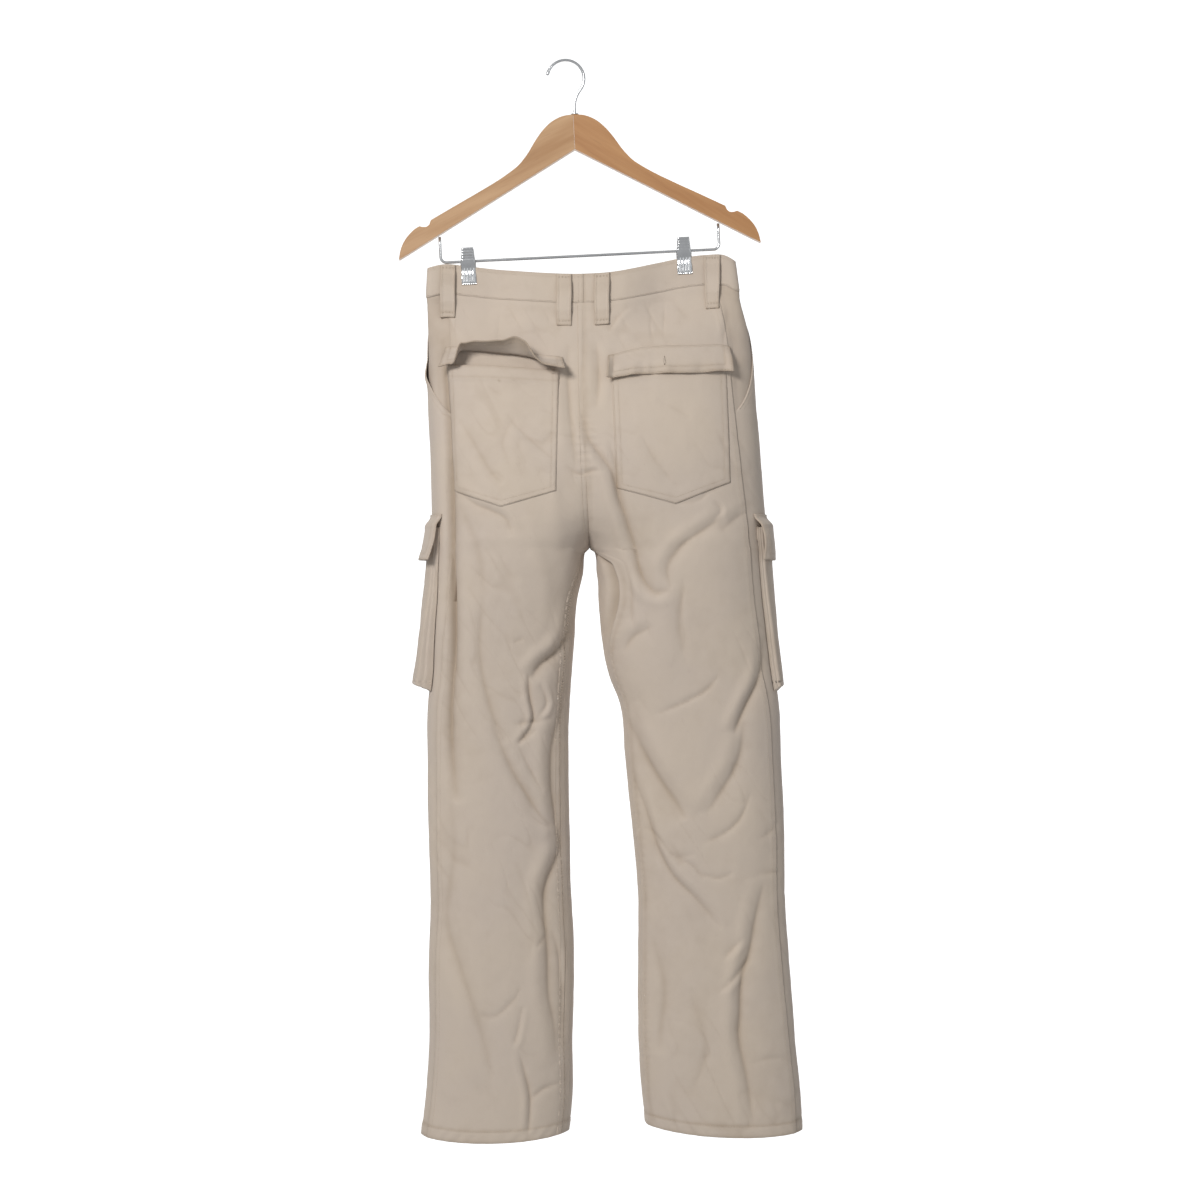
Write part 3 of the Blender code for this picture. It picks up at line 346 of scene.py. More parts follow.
def crisp(t):
    """A trough of height 1 about 0 with a nearly sharp bottom and hollow sides."""
    return np.exp(0.30 - 1.5 * np.sqrt(t * t + 0.04))


def crease_height(face, x, drop):
    """How far the creases lift or sink one face, and how strongly each darkens its line with painted shade, from 0 to
    1: each is a trough about its line, steeper on its crest's side."""
    total, crease_shade = np.zeros(x.shape), np.zeros(x.shape)
    for width, depth, crest, *line in CREASES[face]:
        line = np.array(line, float)
        reach = 4.2 * width
        near = ((x > line[:, 0].min() - reach) & (x < line[:, 0].max() + reach)
                & (drop > line[:, 1].min() - reach) & (drop < line[:, 1].max() + reach))
        if not near.any():
            continue
        knots, fine = np.arange(len(line)), np.linspace(0, len(line) - 1, 8 * (len(line) - 1) + 1)
        path = np.stack([through(knots, line[:, k], fine) for k in (0, 1)], axis=1)
        px, pd = x[near], drop[near]
        nearest, place, side = np.full(px.shape, np.inf), np.zeros(px.shape), np.zeros(px.shape)
        for k in range(len(path) - 1):
            run = path[k + 1] - path[k]
            dx, dd = px - path[k, 0], pd - path[k, 1]
            t = np.clip((dx * run[0] + dd * run[1]) / (run @ run), 0, 1)
            away = np.hypot(dx - t * run[0], dd - t * run[1])
            closer = away < nearest
            nearest = np.where(closer, away, nearest)
            place = np.where(closer, (k + t) / (len(path) - 1), place)
            side = np.where(closer, np.sign(run[1] * dx - run[0] * dd), side)
        taper = np.sin(np.pi * np.clip(place, 0, 1)) ** 0.6
        signed = nearest * side * (crest or 1) / width
        shape = crisp if depth > 0 else bell
        trough = shape(signed / np.where(signed > 0, 0.75, 1.25)) if crest else shape(signed)
        total[near] += 0.8 * depth * taper * ((0.5 * bell(signed - 1.75) if crest else 0.0) - trough)
        # Painted shade: each crease paints a dark line along itself, stronger for deeper creases.
        crease_shade[near] += np.clip(depth / 5, 0, 1) * taper * bell(nearest / max(1.6, 0.32 * width))
    return total, crease_shade


def ripple(points, size, seed):
    """Smooth random waves from -1 to 1: random values on a lattice of the given cell size, blended between."""
    lattice = np.random.default_rng(seed).uniform(-1, 1, (24, 24, 24))
    place = points / np.array(size, float)
    cell = np.floor(place).astype(int)
    share = eased(place - cell)
    total = np.zeros(points.shape[:-1])
    for a in (0, 1):
        for b in (0, 1):
            for c in (0, 1):
                corner = (np.where(a, share[..., 0], 1 - share[..., 0])
                          * np.where(b, share[..., 1], 1 - share[..., 1])
                          * np.where(c, share[..., 2], 1 - share[..., 2]))
                total += corner * lattice[(cell[..., 0] + a) % 24, (cell[..., 1] + b) % 24, (cell[..., 2] + c) % 24]
    return total


def relief(side, row, angle):
    """How far the worn cloth stands from the smooth one: its creases, held down by the band and at the
    silhouette, and everywhere a slow swell with smaller ripples, and thin crinkles where a slow wave allows them.
    Also the depth that its painted shade follows: its relief, less the painted shade along crease lines and in
    crinkles. The lower it lies, the browner the cloth is painted."""
    point = smooth_cloth(side, row, angle)
    out = rounded(np.sin(angle), 2 / ROUNDNESS)
    face = np.clip(1.7 * np.abs(out) - 0.35, 0, 1)
    free = eased((row - WAIST - BAND_HEIGHT) / 30)
    x, drop = point[..., 0], -point[..., 2]
    folds, crease_shade = (np.where(out > 0, *pair) for pair in zip(crease_height("back", x, drop),
                                                            crease_height("front", x, drop)))
    swell = 1.4 * ripple(point, (55, 55, 120), 3) + 0.5 * ripple(point, (24, 24, 48), 4)
    fine = 0.24 * ripple(point, (11, 11, 19), 5) + 0.10 * ripple(point, (5, 5, 7), 6)
    leaning = point + point[..., 2:] * np.array([0.55, 0.0, 0.0])
    allowed = np.clip(1.8 * ripple(point, (46, 60, 80), 8) + 0.1, 0, 1)
    crinkle = bell(ripple(leaning, (19, 60, 44), 7) / 0.10) * allowed
    high = folds * face * free + swell * (0.15 + 0.85 * free) * 0.8 + (fine - 0.5 * crinkle) * (0.4 + 0.6 * free)
    # Painted shade: crease lines and crinkles are coloured as if they lay deeper than they do.
    return high, high - (6 * crease_shade * face + 2.2 * crinkle) * free


def worn_cloth(side, row, angle, lift=0.0):
    """Points on the worn cloth, raised by lift along its outward direction, with that direction and the depth that its
    painted shade follows."""
    row, angle = np.broadcast_arrays(np.asarray(row, float), np.asarray(angle, float))
    out, (high, shade_depth) = facing(side, row, angle), relief(side, row, angle)
    return smooth_cloth(side, row, angle) + (high + lift)[..., None] * out, out, shade_depth


def placed(name, points, faces, material):
    """A new object at the origin, from points in mm and the faces between them, in one material."""
    mesh = bpy.data.meshes.new(name)
    mesh.from_pydata((points.reshape(-1, 3) * MM).tolist(), [], faces)
    mesh.materials.append(material)
    mesh.shade_smooth()
    piece = bpy.data.objects.new(name, mesh)
    bpy.context.scene.collection.objects.link(piece)
    return piece


def cloth_piece(name, grid, uv, wall, material, high=None, seam=None):
    """A cloth piece: a grid of its middle surface in mm, thickened both ways. uv is the place on the flat cloth in mm,
    high how far it stands or sinks, which its painted shade follows, and seam 1 along worn seams and edges, and on the
    left back flap's turned lining, where it is painted shade."""
    rows, cols = grid.shape[:2]
    index = np.arange(rows * cols).reshape(rows, cols)
    quads = np.stack([index[:-1, :-1], index[1:, :-1], index[1:, 1:], index[:-1, 1:]], axis=-1).reshape(-1, 4)
    piece = placed(name, grid, quads.tolist(), material)
    mesh = piece.data
    places = np.ascontiguousarray((uv.reshape(-1, 2) * MM)[quads.reshape(-1)], np.float32)
    mesh.uv_layers.new(name="cloth").data.foreach_set("uv", places.ravel())
    for label, values in (("fold", high), ("seam", seam)):
        values = np.zeros((rows, cols)) if values is None else np.broadcast_to(values, (rows, cols))
        mesh.attributes.new(label, "FLOAT", "POINT").data.foreach_set("value", values.astype(np.float32).ravel())
    thick = piece.modifiers.new("cloth wall", "SOLIDIFY")
    thick.thickness, thick.offset = wall * MM, 0.0
    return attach(piece, "root")


class Value:
    """A shader socket that adds, multiplies and so on as numbers do, each by one Math node."""

    def __init__(self, tree, socket):
        self.tree, self.socket = tree, socket

    def math(self, operation, *values):
        node = self.tree.nodes.new("ShaderNodeMath")
        node.operation = operation
        for socket, value in zip(node.inputs, values):
            plug(self.tree, socket, value)
        return Value(self.tree, node.outputs[0])

    def __add__(self, other):
        return self.math("ADD", self, other)

    def __mul__(self, other):
        return self.math("MULTIPLY", self, other)

    def __sub__(self, other):
        return self.math("SUBTRACT", self, other)

    def __rsub__(self, other):
        return self.math("SUBTRACT", other, self)

    __radd__, __rmul__ = __add__, __mul__

    def clipped(self, low=0.0, high=1.0):
        return self.math("MAXIMUM", self.math("MINIMUM", self, high), low)

    def sine(self):
        return self.math("SINE", self)


def plug(tree, socket, value):
    """Links a Value to a socket, or sets the socket to a number or colour."""
    if isinstance(value, Value):
        tree.links.new(value.socket, socket)
    elif isinstance(value, tuple) and socket.type == "RGBA":
        socket.default_value = (*value, 1.0)
    else:
        socket.default_value = value


class Finish:
    """A material: its Principled shader's sockets are set at once, and node adds any other node."""

    def __init__(self, name, sockets):
        self.material = bpy.data.materials.new(name)
        self.material.use_nodes = True
        self.tree = self.material.node_tree
        self.set(sockets)

    def set(self, sockets):
        for name, value in sockets.items():
            plug(self.tree, self.tree.nodes["Principled BSDF"].inputs[name], value)

    def node(self, kind, settings=None, sockets=None, out=0):
        made = self.tree.nodes.new(kind)
        for name, value in (settings or {}).items():
            setattr(made, name, value)
        for name, value in (sockets or {}).items():
            plug(self.tree, made.inputs[name], value)
        return Value(self.tree, made.outputs[out])

    def place(self):
        """Object coordinates."""
        return self.node("ShaderNodeTexCoord", {}, out=3)

    def turned(self, place, **sockets):
        """The place scaled or turned by a Mapping node."""
        return self.node("ShaderNodeMapping", {}, {"Vector": place, **sockets})

    def bump(self, strength, distance, height):
        return self.node("ShaderNodeBump", {}, {"Strength": strength, "Distance": distance, "Height": height})

    def noise(self, place, scale, detail=2.0):
        return self.node("ShaderNodeTexNoise", {}, {"Vector": place, "Scale": scale, "Detail": detail})

    def mix(self, share, first, second):
        return self.node("ShaderNodeMix", {"data_type": "RGBA"}, {0: share, 6: first, 7: second}, out=2)


TWILL = Finish("stone twill", {"Roughness": 0.93, "Sheen Weight": 0.12, "Sheen Roughness": 0.6,
                               "Specular IOR Level": 0.25})


def weave_twill(finish, pale, brown, grey):
    """Washed cotton twill: slanting wales 0.8 mm apart, broken by uneven yarns, over slow patches of greyer tone.
    Painted shade makes it browner in creases and hollows, and it is browner along worn seams."""
    flat = finish.node("ShaderNodeUVMap", {"uv_map": "cloth"})
    place = finish.place()
    cut = finish.tree.nodes.new("ShaderNodeSeparateXYZ")
    finish.tree.links.new(flat.socket, cut.inputs[0])
    along, down = Value(finish.tree, cut.outputs[0]), Value(finish.tree, cut.outputs[1])
    yarn = finish.noise(flat, 900.0, 1.0)
    wale = (along * 7000.0 + down * 3500.0 + yarn * 2.4).sine() * 0.5 + 0.5
    patches = finish.noise(place, 9.0, 3.0)
    mottle = finish.noise(place, 60.0, 4.0)
    fold = finish.node("ShaderNodeAttribute", {"attribute_name": "fold"}, out=2)
    seam = finish.node("ShaderNodeAttribute", {"attribute_name": "seam"}, out=2)
    # Painted shade: the lower the fold attribute, the browner the cloth, varied at random by the mottle.
    sunk = (fold * -0.085 + (mottle - 0.5) * 0.25).clipped()
    # The seam attribute is real wear along seams and edges, and painted shade on the left back flap's turned lining.
    worn = (seam * (0.25 + mottle * 0.9)).clipped()
    colour = finish.mix((patches * 2.2 - 0.75).clipped() * 0.9, pale, grey)
    colour = finish.mix((sunk * 0.55 + worn * 0.40 + (mottle - 0.5) * 0.16).clipped(), colour, brown)
    colour = finish.mix(wale * 0.09 + yarn * 0.06, colour, brown)
    height = wale * 0.6 + yarn * 0.5 + mottle * 0.6
    finish.set({
        "Base Color": colour,
        "Roughness": 0.98 - wale * 0.08,
        "Normal": finish.bump(0.35, 0.00016, height),
    })


weave_twill(TWILL, (0.572, 0.486, 0.402), (0.315, 0.235, 0.160), (0.535, 0.458, 0.398))

THREAD = Finish("sewing thread", {"Base Color": (0.52, 0.43, 0.34), "Roughness": 0.8, "Sheen Weight": 0.2})
THREAD.set({"Base Color": THREAD.mix(THREAD.noise(THREAD.place(), 700.0), (0.46, 0.375, 0.29), (0.59, 0.50, 0.40))})
STITCH, STITCH_GAP, STITCH_THICK = 2.5, 0.9, 0.5
stitches = []


def sew(path, out, *_, close=False):
    """Lockstitches along a path of points on the cloth's face, or a grid's only row or column: each a slim spindle
    of two square rings and two ends, lying along the path and half sunk in the cloth."""
    path, out = path.reshape(-1, 3), out.reshape(-1, 3)
    if close:
        path, out = np.concatenate([path, path[:1]]), np.concatenate([out, out[:1]])
    run = np.concatenate([[0], np.cumsum(np.linalg.norm(np.diff(path, axis=0), axis=1))])
    count = int(run[-1] / (STITCH + STITCH_GAP))
    if count < 1:
        return
    starts = (np.arange(count) + 0.5) * run[-1] / count - STITCH / 2

    def read(values, at):
        return np.stack([np.interp(at, run, values[:, k]) for k in range(3)], axis=-1)

    spots = starts[:, None] + STITCH * np.array([0.0, 0.22, 0.78, 1.0])
    middle, up = read(path, spots), read(out, spots)
    up /= np.linalg.norm(up, axis=-1, keepdims=True)
    along = middle[:, -1:] - middle[:, :1]
    across = np.cross(along / np.linalg.norm(along, axis=-1, keepdims=True), up)
    half = STITCH_THICK / 2
    rings = [middle[:, k] + half * (a * across[:, k] + b * up[:, k])
             for k in (1, 2) for a, b in ((1, 0), (0, 1), (-1, 0), (0, -1))]
    stitches.append(np.stack([middle[:, 0] - 0.15 * up[:, 0], *rings, middle[:, 3] - 0.15 * up[:, 3]], axis=1))


def stitch_piece(name):
    """All the stitches sewn so far, as one piece, each spindle of 4 quads and 8 triangles."""
    spindles = np.concatenate(stitches)
    stitches.clear()
    ring = [(0, 1), (1, 2), (2, 3), (3, 0)]
    quads = np.array([(1 + a, 1 + b, 5 + b, 5 + a) for a, b in ring])
    ends = np.array([(0, 1 + b, 1 + a) for a, b in ring] + [(9, 5 + a, 5 + b) for a, b in ring])
    starts = 10 * np.arange(len(spindles))[:, None, None]
    faces = (starts + quads).reshape(-1, 4).tolist() + (starts + ends).reshape(-1, 3).tolist()
    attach(placed(name, spindles, faces, THREAD.material), "root")


def slant_skip(row):
    """How much of the front panel's outer edge the pocket mouth cuts away: it runs steeply down and curves out to
    the side seam at its foot. Below the mouth the panel runs on under the back panel."""
    share = np.clip((row - WAIST - BAND_HEIGHT) / SLANT_HEIGHT, 0, None)
    return SLANT_WIDTH * np.clip(1 - share**4, 0, 1) - LAP * eased((share - 0.97) * 18)


def mouth_gape(side, share):
    """How far the slanting pocket mouth stands open, at shares of its height: most of all at two thirds."""
    most, even = (4.2, 0.25) if side == "left" else (0.1, 0.1)
    return most * bell((share - 0.66) / 0.09) + even * np.sin(np.pi * share)


def hem_path(rows):
    """Rows and lifts of a panel from its top edge down, round the hem's fold and up inside it."""
    turn = np.array([0.35, 0.75, 1.0, 0.75, 0.35])
    inside = np.linspace(0, HEM_TURN, 6)
    return (np.concatenate([rows, HEM + 0.55 * turn, HEM - inside]),
            np.concatenate([0 * rows, -0.55 + 0.55 * np.array([0.9, 0.6, 0, -0.6, -0.9]), -1.1 + 0 * inside]))


def panel_lift(face, row, start, end, total_left):
    """What construction adds to a panel's relief: the laps at its seams with their puckers, a sunk line at the hem's
    row of stitches, and a thicker, roped hem."""
    lap = LAP_LIFT if face == "back" else -LAP_LIFT
    lift = lap * (1 - eased((start - 7) / 5)) * eased((row - WAIST - 30) / 12)
    lift = lift + (lap if total_left else -lap) * (1 - eased((end - 7) / 5))
    lift = lift + 0.75 * bell((row - WAIST - BAND_HEIGHT - 5) / 4)
    pucker = np.sin(row / 1.55 + 1.3 * np.sin(row / 23)) * (0.5 + 0.5 * np.sin(row / 37 + 1))
    seat = 2.6 * bell((row - 455) / 34)
    lift = lift + 0.22 * pucker * (bell((start - 4) / 5) + (1 + seat) * bell((end - 4) / (5 + 3 * seat)))
    hem = eased((row - (HEM - HEM_TURN) + 1.5) / 3)
    rope = np.sin((start + 0.8 * (row - HEM)) / 2.6 + 2 * np.sin(start / 31)) * (0.6 + 0.4 * np.sin(start / 17))
    return lift + hem * (0.35 + 0.42 * rope) - 0.45 * bell((row - (HEM - HEM_TURN)) / 1.6)


for side in ("left", "right"):
    for face, last, cols, count in (("back", back_end, 114, 392), ("front", front_end, 84, 230)):
        lapped = (side == "left")
        upper = CROTCH - (CROTCH - WAIST - BAND_HEIGHT + 4) * (1 - np.linspace(0, 1, int(count * 0.34))) ** 1.12
        rows, sunk = hem_path(np.concatenate([upper, np.linspace(CROTCH, HEM, count - len(upper) + 1)[1:]]))
        walked = walk(side, rows, last)
        near = np.zeros(len(rows)) if face == "back" else slant_skip(rows)
        far = 0.0 if (face == "back") == lapped else -LAP
        weights = bell((rows[:, None] - rows) / 22)
        even = (weights @ walked[2] / weights.sum(axis=1))[:, None]
        share = np.linspace(0, 1, cols + 1)
        want = (near[:, None] + (even - near[:, None]) * share
                + ((walked[2] - far)[:, None] - even) * eased(2 * share - 1))
        angles = at_distances(walked, want)
        start, end = np.abs(want), np.abs(walked[2][:, None] - want)
        row_grid = rows[:, None] + 0 * want
        lift = panel_lift(face, row_grid, start, end, (face == "back") != lapped) + sunk[:, None]
        tuck = (eased(end / 5) * (1 - eased((end - 17) / 12)) * eased((row_grid - 601) / 10)
                * (1 - eased((row_grid - 668) / 45)))
        if face == "front":
            lift = lift - 5.0 * tuck * (side == "right")
            mouth = np.clip((rows - WAIST - BAND_HEIGHT) / SLANT_HEIGHT, 0, 1)[:, None]
            lift = lift + mouth_gape(side, mouth) * bell((want - near[:, None]) / 14)
            lift = lift - 0.45 * bell((want - near[:, None]) / 5) * eased((mouth - 0.76) / 0.08) * (mouth < 1)
        grid, out, high = worn_cloth(side, row_grid, angles, lift)
        # Painted shade: the tucked strip of the right front panel beside the inseam is coloured as if 9 mm deeper.
        high = high - 9 * tuck * (face == "front" and side == "right")
        seam = (0.35 * bell(start / 3.5) + 0.6 * bell(end / 3.5) + bell((row_grid - HEM) / 2.5)
                + 1.1 * bell((row_grid - HEM + 14) / 2)
                + 1.8 * bell(np.hypot(grid[..., 0] - 263.6, grid[..., 2] + 1307) / 1.8))
        turned_up = np.clip(np.arange(len(rows)) - (len(rows) - 9), 0, None)[:, None]
        uv = np.stack([want, row_grid - 2 * turned_up], axis=-1)
        piece = cloth_piece(f"{face}_panel_{side}", grid, uv, WALL, TWILL.material, high, seam)
        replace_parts(piece, f"{face}_{side}")
        # Rows of stitches: two beside each seam that this panel laps over, and one at the hem.
        sewn = np.arange(WAIST + BAND_HEIGHT + 4, HEM - 2, 3.0)
        trail = walk(side, sewn, last)
        lines = []
        if face == "back":
            lines += [(sewn, d + 0 * sewn) for d in STITCH_ROWS]
        if lapped:
            lines += [(sewn, trail[2] - d) for d in STITCH_ROWS]
        for at, distance in lines:
            turned = at_distances(trail, distance[:, None])
            left = np.abs(trail[2][:, None] - distance[:, None])
            raised = panel_lift(face, at[:, None], np.abs(distance[:, None]), left, True) + WALL / 2 + 0.05
            sew(*worn_cloth(side, at[:, None], turned, raised))
        around = walk(side, np.array([HEM - HEM_TURN + 1.0]), last)
        across = np.arange(0, around[2][0], 1.5)[None, :]
        row = np.full(across.shape, HEM - HEM_TURN + 1.0)
        raised = panel_lift(face, row, across, around[2][0] - across, True) + WALL / 2 + 0.05
        sew(*worn_cloth(side, row, at_distances(around, across), raised))
stitch_piece("leg_stitches")

# -----------------------------------------------------------------------------------------------------------
# Waistband: one strip folded over at the top, with the panels' upper edges between its two layers. It is sewn in
# four lengths, topstitched at both edges, and joined at the centre back and the sides.
# -----------------------------------------------------------------------------------------------------------

BAND_LAYER = 0.85           # each layer's middle from the band's middle
BAND_FOOT = WAIST + BAND_HEIGHT + 0.6

fold = np.radians(np.linspace(90, -90, 9))
leg = np.linspace(BAND_FOOT, WAIST + 0.9, 15)
rows = np.concatenate([leg, WAIST + 0.9 - 0.9 * np.cos(fold[1:-1]), leg[::-1]])
stand = np.concatenate([0 * leg + BAND_LAYER, BAND_LAYER * np.sin(fold[1:-1]), 0 * leg - BAND_LAYER])
TOPSTITCH = (WAIST + 4.2, WAIST + BAND_HEIGHT - 1.6)


def band_wave(distance, row):
    """The band's own unevenness: stitches sink it, and it cockles a little between them."""
    sink = sum(bell((row - line) / 1.1) for line in TOPSTITCH)
    cockle = np.sin(distance / 3.1 + np.sin(distance / 17)) * (0.5 + 0.5 * np.sin(distance / 29))
    foot = -0.30 * bell((row - BAND_FOOT) / 1.6)
    return (foot - 0.22 * sink + 0.16 * cockle * bell((row - TOPSTITCH[1] + 2) / 5)
            + 0.10 * cockle * bell((row - WAIST) / 7))


for side in ("left", "right"):
    for face, last in (("back", back_end), ("front", front_end)):
        walked = walk(side, rows, last)
        want = 0.03 + (walked[2] + (0.17 if face == "back" else -0.06))[:, None] * np.linspace(0, 1, 105)
        row_grid = rows[:, None] + 0 * want
        lift = stand[:, None] + np.sign(stand)[:, None] * band_wave(want, row_grid)
        grid, out, high = worn_cloth(side, row_grid, at_distances(walked, want), lift)
        seam = (0.1 * bell((row_grid - BAND_FOOT) / 2.5) + 0.7 * bell((row_grid - WAIST) / 2) + 0.8 * bell(want / 2)
                + bell((walked[2][:, None] - want) / 2) + 0.4 * bell((row_grid - TOPSTITCH[0]) / 1.2))
        uv = np.stack([want, row_grid + 40 * (stand[:, None] < 0)], axis=-1)
        piece = cloth_piece(f"waistband_{face}_{side}_cloth", grid, uv, WALL, TWILL.material, high, seam)
        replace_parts(piece, f"waistband_{face}_{side}")
        line = walk(side, np.array(TOPSTITCH), last)
        across = np.arange(1.0, line[2].min() - 1, 1.5) + np.zeros((2, 1))
        row = np.array(TOPSTITCH)[:, None] + 0 * across
        for path, out, _ in zip(*worn_cloth(side, row, at_distances(line, across), BAND_LAYER + WALL / 2 - 0.1)):
            sew(path, out)
        if face == "back":
            down = np.arange(WAIST + 2, BAND_FOOT - 1, 1.5)
            trail = walk(side, down, last)
            for inset in (2.0, 6.5) if side == "left" else ():
                sew(*worn_cloth(side, down[:, None], at_distances(trail, trail[2][:, None] - inset),
                                BAND_LAYER + WALL / 2 + 0.05))

# -----------------------------------------------------------------------------------------------------------
# Belt loops: six strips of twill folded to 18 mm, topstitched along both edges, sewn down at each end with a bar
# tack and standing off the band between.
# -----------------------------------------------------------------------------------------------------------

LOOP_WIDTH, LOOP_LENGTH, LOOP_WALL = 18.0, 65.0, 1.5
LOOP_STAND = np.array([  # share of the length, and how far the strip's middle stands from the garment's
    (0.0, 2.3), (0.06, 2.3), (0.10, 2.6), (0.17, 4.4), (0.5, 5.0), (0.70, 4.6), (0.80, 2.9), (0.86, 2.2),
    (1.0, 1.9)])
LOOPS = {  # centre, face and how much narrower each end is drawn
    "back_left": (-1.5, "back", 0.02), "back_right": (44.5, "back", 0.04), "side_left": (-144.0, "back", 0.0),
    "side_right": (179.5, "back", 0.12), "front_left": (-40.0, "front", 0.02), "front_right": (84.0, "front", 0.03),
}


def loop_at(name, down, across, lift):
    """A point of a belt loop, at shares of its length and of its half-width: the garment's own surface there,
    carried out along one direction by the loop's stand."""
    centre, face, drawn = LOOPS[name]
    side = "left" if centre < 22 else "right"
    x = centre + across * LOOP_WIDTH / 2 * (1 - drawn * (2 * down - 1)) + 0.25 * np.sin(9 * down + centre)
    row = WAIST + 0.5 + LOOP_LENGTH * down
    base = smooth_cloth(side, row, angle_at(side, x, row, face))
    out = facing(side, row, angle_at(side, x, row, face)).mean(axis=(0, 1)) * (0.4, 1.0, 0.0)
    out /= np.linalg.norm(out)
    stand = np.interp(down, LOOP_STAND[:, 0], LOOP_STAND[:, 1])
    bulge = 0.35 * bell((np.abs(across) - 0.80) / 0.10) - 0.25 * bell((np.abs(across) - 0.62) / 0.12)
    return base + (stand + lift + bulge)[..., None] * out, np.broadcast_to(out, base.shape)


for name, (centre, face, drawn) in LOOPS.items():
    down, across = np.meshgrid(np.linspace(0, 1, 60), np.linspace(-1, 1, 17), indexing="ij")
    grid, out = loop_at(name, down, across, 0.0 * down)
    seam = 0.9 * bell((np.abs(across) - 1) / 0.16) + bell((down - 1) / 0.03) + 0.7 * bell((down - 0.9) / 0.03)
    # Painted shade: each loop is coloured darker towards its ends, where it lies close to the band.
    piece = cloth_piece("belt_loop_" + name + "_cloth", grid, np.stack([across * 9 + centre, down * 65], axis=-1),
                        LOOP_WALL, TWILL.material, 4 * bell((down - 0.55) / 0.2) - 3, seam)
    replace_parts(piece, "belt_loop_" + name)
    along = np.linspace(0.02, 0.98, 90)[:, None]
    for edge in (-0.76, 0.76):
        sew(*loop_at(name, along, edge + 0 * along, LOOP_WALL / 2 + 0 * along))
    wide = np.linspace(-0.86, 0.86, 24)[None, :]
    for place in (0.045, 0.057, 0.069, 0.895, 0.907, 0.919):
        sew(*loop_at(name, place + 0 * wide, wide, LOOP_WALL / 2 + 0.15 + 0 * wide))
stitch_piece("waistband_stitches")

# -----------------------------------------------------------------------------------------------------------
# Back pockets: two patches with a shallow V at the foot, their mouths hemmed, sewn on with two rows of stitches.
# The left one gapes.
# -----------------------------------------------------------------------------------------------------------

POCKETS = {  # upper outer, upper inner, lower outer, lower inner and foot, as (x, row), and how far the mouth gapes
    "left": ((-143, 377), (-7, 377), (-137, 528), (-10, 528), (-76, 548), 8.5),
    "right": ((195, 377), (56, 377), (199, 520), (62, 525), (133, 543), 2.0),
}
POCKET_SEWN = 0.95           # the patch's middle above the panel's middle
POCKET_HEM = 0.085          # share of the pocket's height


def pocket_at(side, down, along, lift):
    """A point of a back pocket, at shares of its height and width: its four corners blended, its foot drawn down
    to a point, laid on the worn panel and standing off it towards the mouth."""
    upper_outer, upper_inner, lower_outer, lower_inner, foot, gape = POCKETS[side]
    peak = (foot[0] - lower_outer[0]) / (lower_inner[0] - lower_outer[0])
    rise = np.where(along < peak, along / peak, (1 - along) / (1 - peak))
    x, row = ((1 - down) * ((1 - along) * a + along * b) + down * ((1 - along) * c + along * d)
              for a, b, c, d in zip(upper_outer, upper_inner, lower_outer, lower_inner))
    row = row + np.clip(down, 0, 1) ** 1.5 * rise * (foot[1] - lower_outer[1])
    bow = np.sin(np.pi * along)
    off = gape * bow ** 0.8 * (1 - down) ** 2.2 + 0.5 * bow * np.sin(np.pi * down)
    return worn_cloth(side, row, angle_at(side, x, row, "back"), POCKET_SEWN + off + lift)


for side in ("left", "right"):
    inside, outside = np.linspace(POCKET_HEM, 0, 8), np.linspace(0, 1, 84)
    bend = np.radians(np.linspace(-90, 90, 7))[1:-1]
    down = np.concatenate([inside, -0.004 * np.cos(bend), outside])
    layer = np.concatenate([0 * inside, 0.5 + 0.5 * np.sin(bend), 1 - eased((outside - POCKET_HEM - 0.01) / 0.03)])
    down, along = np.meshgrid(down, np.linspace(0, 1, 73), indexing="ij")
    edge = np.minimum(np.minimum(along, 1 - along) * 135, np.abs(1 - down) * 160)
    line = bell((edge - 7) / 1.4) + bell((edge - 1.6) / 1.2)
    cockle = np.sin((down * 150 + along * 130) / 1.9) * bell((edge - 4) / 4)
    lift = (layer[:, None] - 0.55 * bell(edge / 1.6) - 0.16 * line + 0.13 * cockle
            - 0.2 * bell((down - POCKET_HEM) / 0.01))
    grid, out, high = pocket_at(side, down, along, lift)
    seam = (0.6 * bell(edge / 2.2) + 0.4 * bell((edge - 7) / 2) + 0.9 * bell(down / 0.012)
            + 0.5 * bell((down - POCKET_HEM) / 0.012))
    seam = seam + 2.2 * bell(np.hypot(grid[..., 0] + 79, grid[..., 2] + 395.5) / 1.5)
    piece = cloth_piece(f"back_pocket_{side}_cloth", grid, np.stack([along * 135, down * 160], axis=-1), WALL,
                        TWILL.material, high, seam)
    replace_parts(piece, "back_pocket_" + side)
    for inset in STITCH_ROWS:
        a, d = inset / 135, inset / 160
        fall, cross = np.linspace(0.02, 1 - d, 90), np.linspace(a, 1 - a, 80)
        down = np.concatenate([fall, 0 * cross + 1 - d, fall[::-1]])
        along = np.concatenate([0 * fall + a, cross, 0 * fall + 1 - a])
        high_side = WALL / 2 + np.where(down < POCKET_HEM + 0.02, 1.0, 0.0)
        sew(*pocket_at(side, down[None, :], along[None, :], high_side[None, :]))
    cross = np.linspace(0.02, 0.98, 100)[None, :]
    sew(*pocket_at(side, POCKET_HEM + 0 * cross, cross, WALL / 2 + 0.8))

# -----------------------------------------------------------------------------------------------------------
# Back flaps: doubled twill, turned at the edges, sewn along the top. The right one hangs over its pocket, and the
# left one's middle is turned up, so that its lining side and the pocket's mouth show.
# -----------------------------------------------------------------------------------------------------------

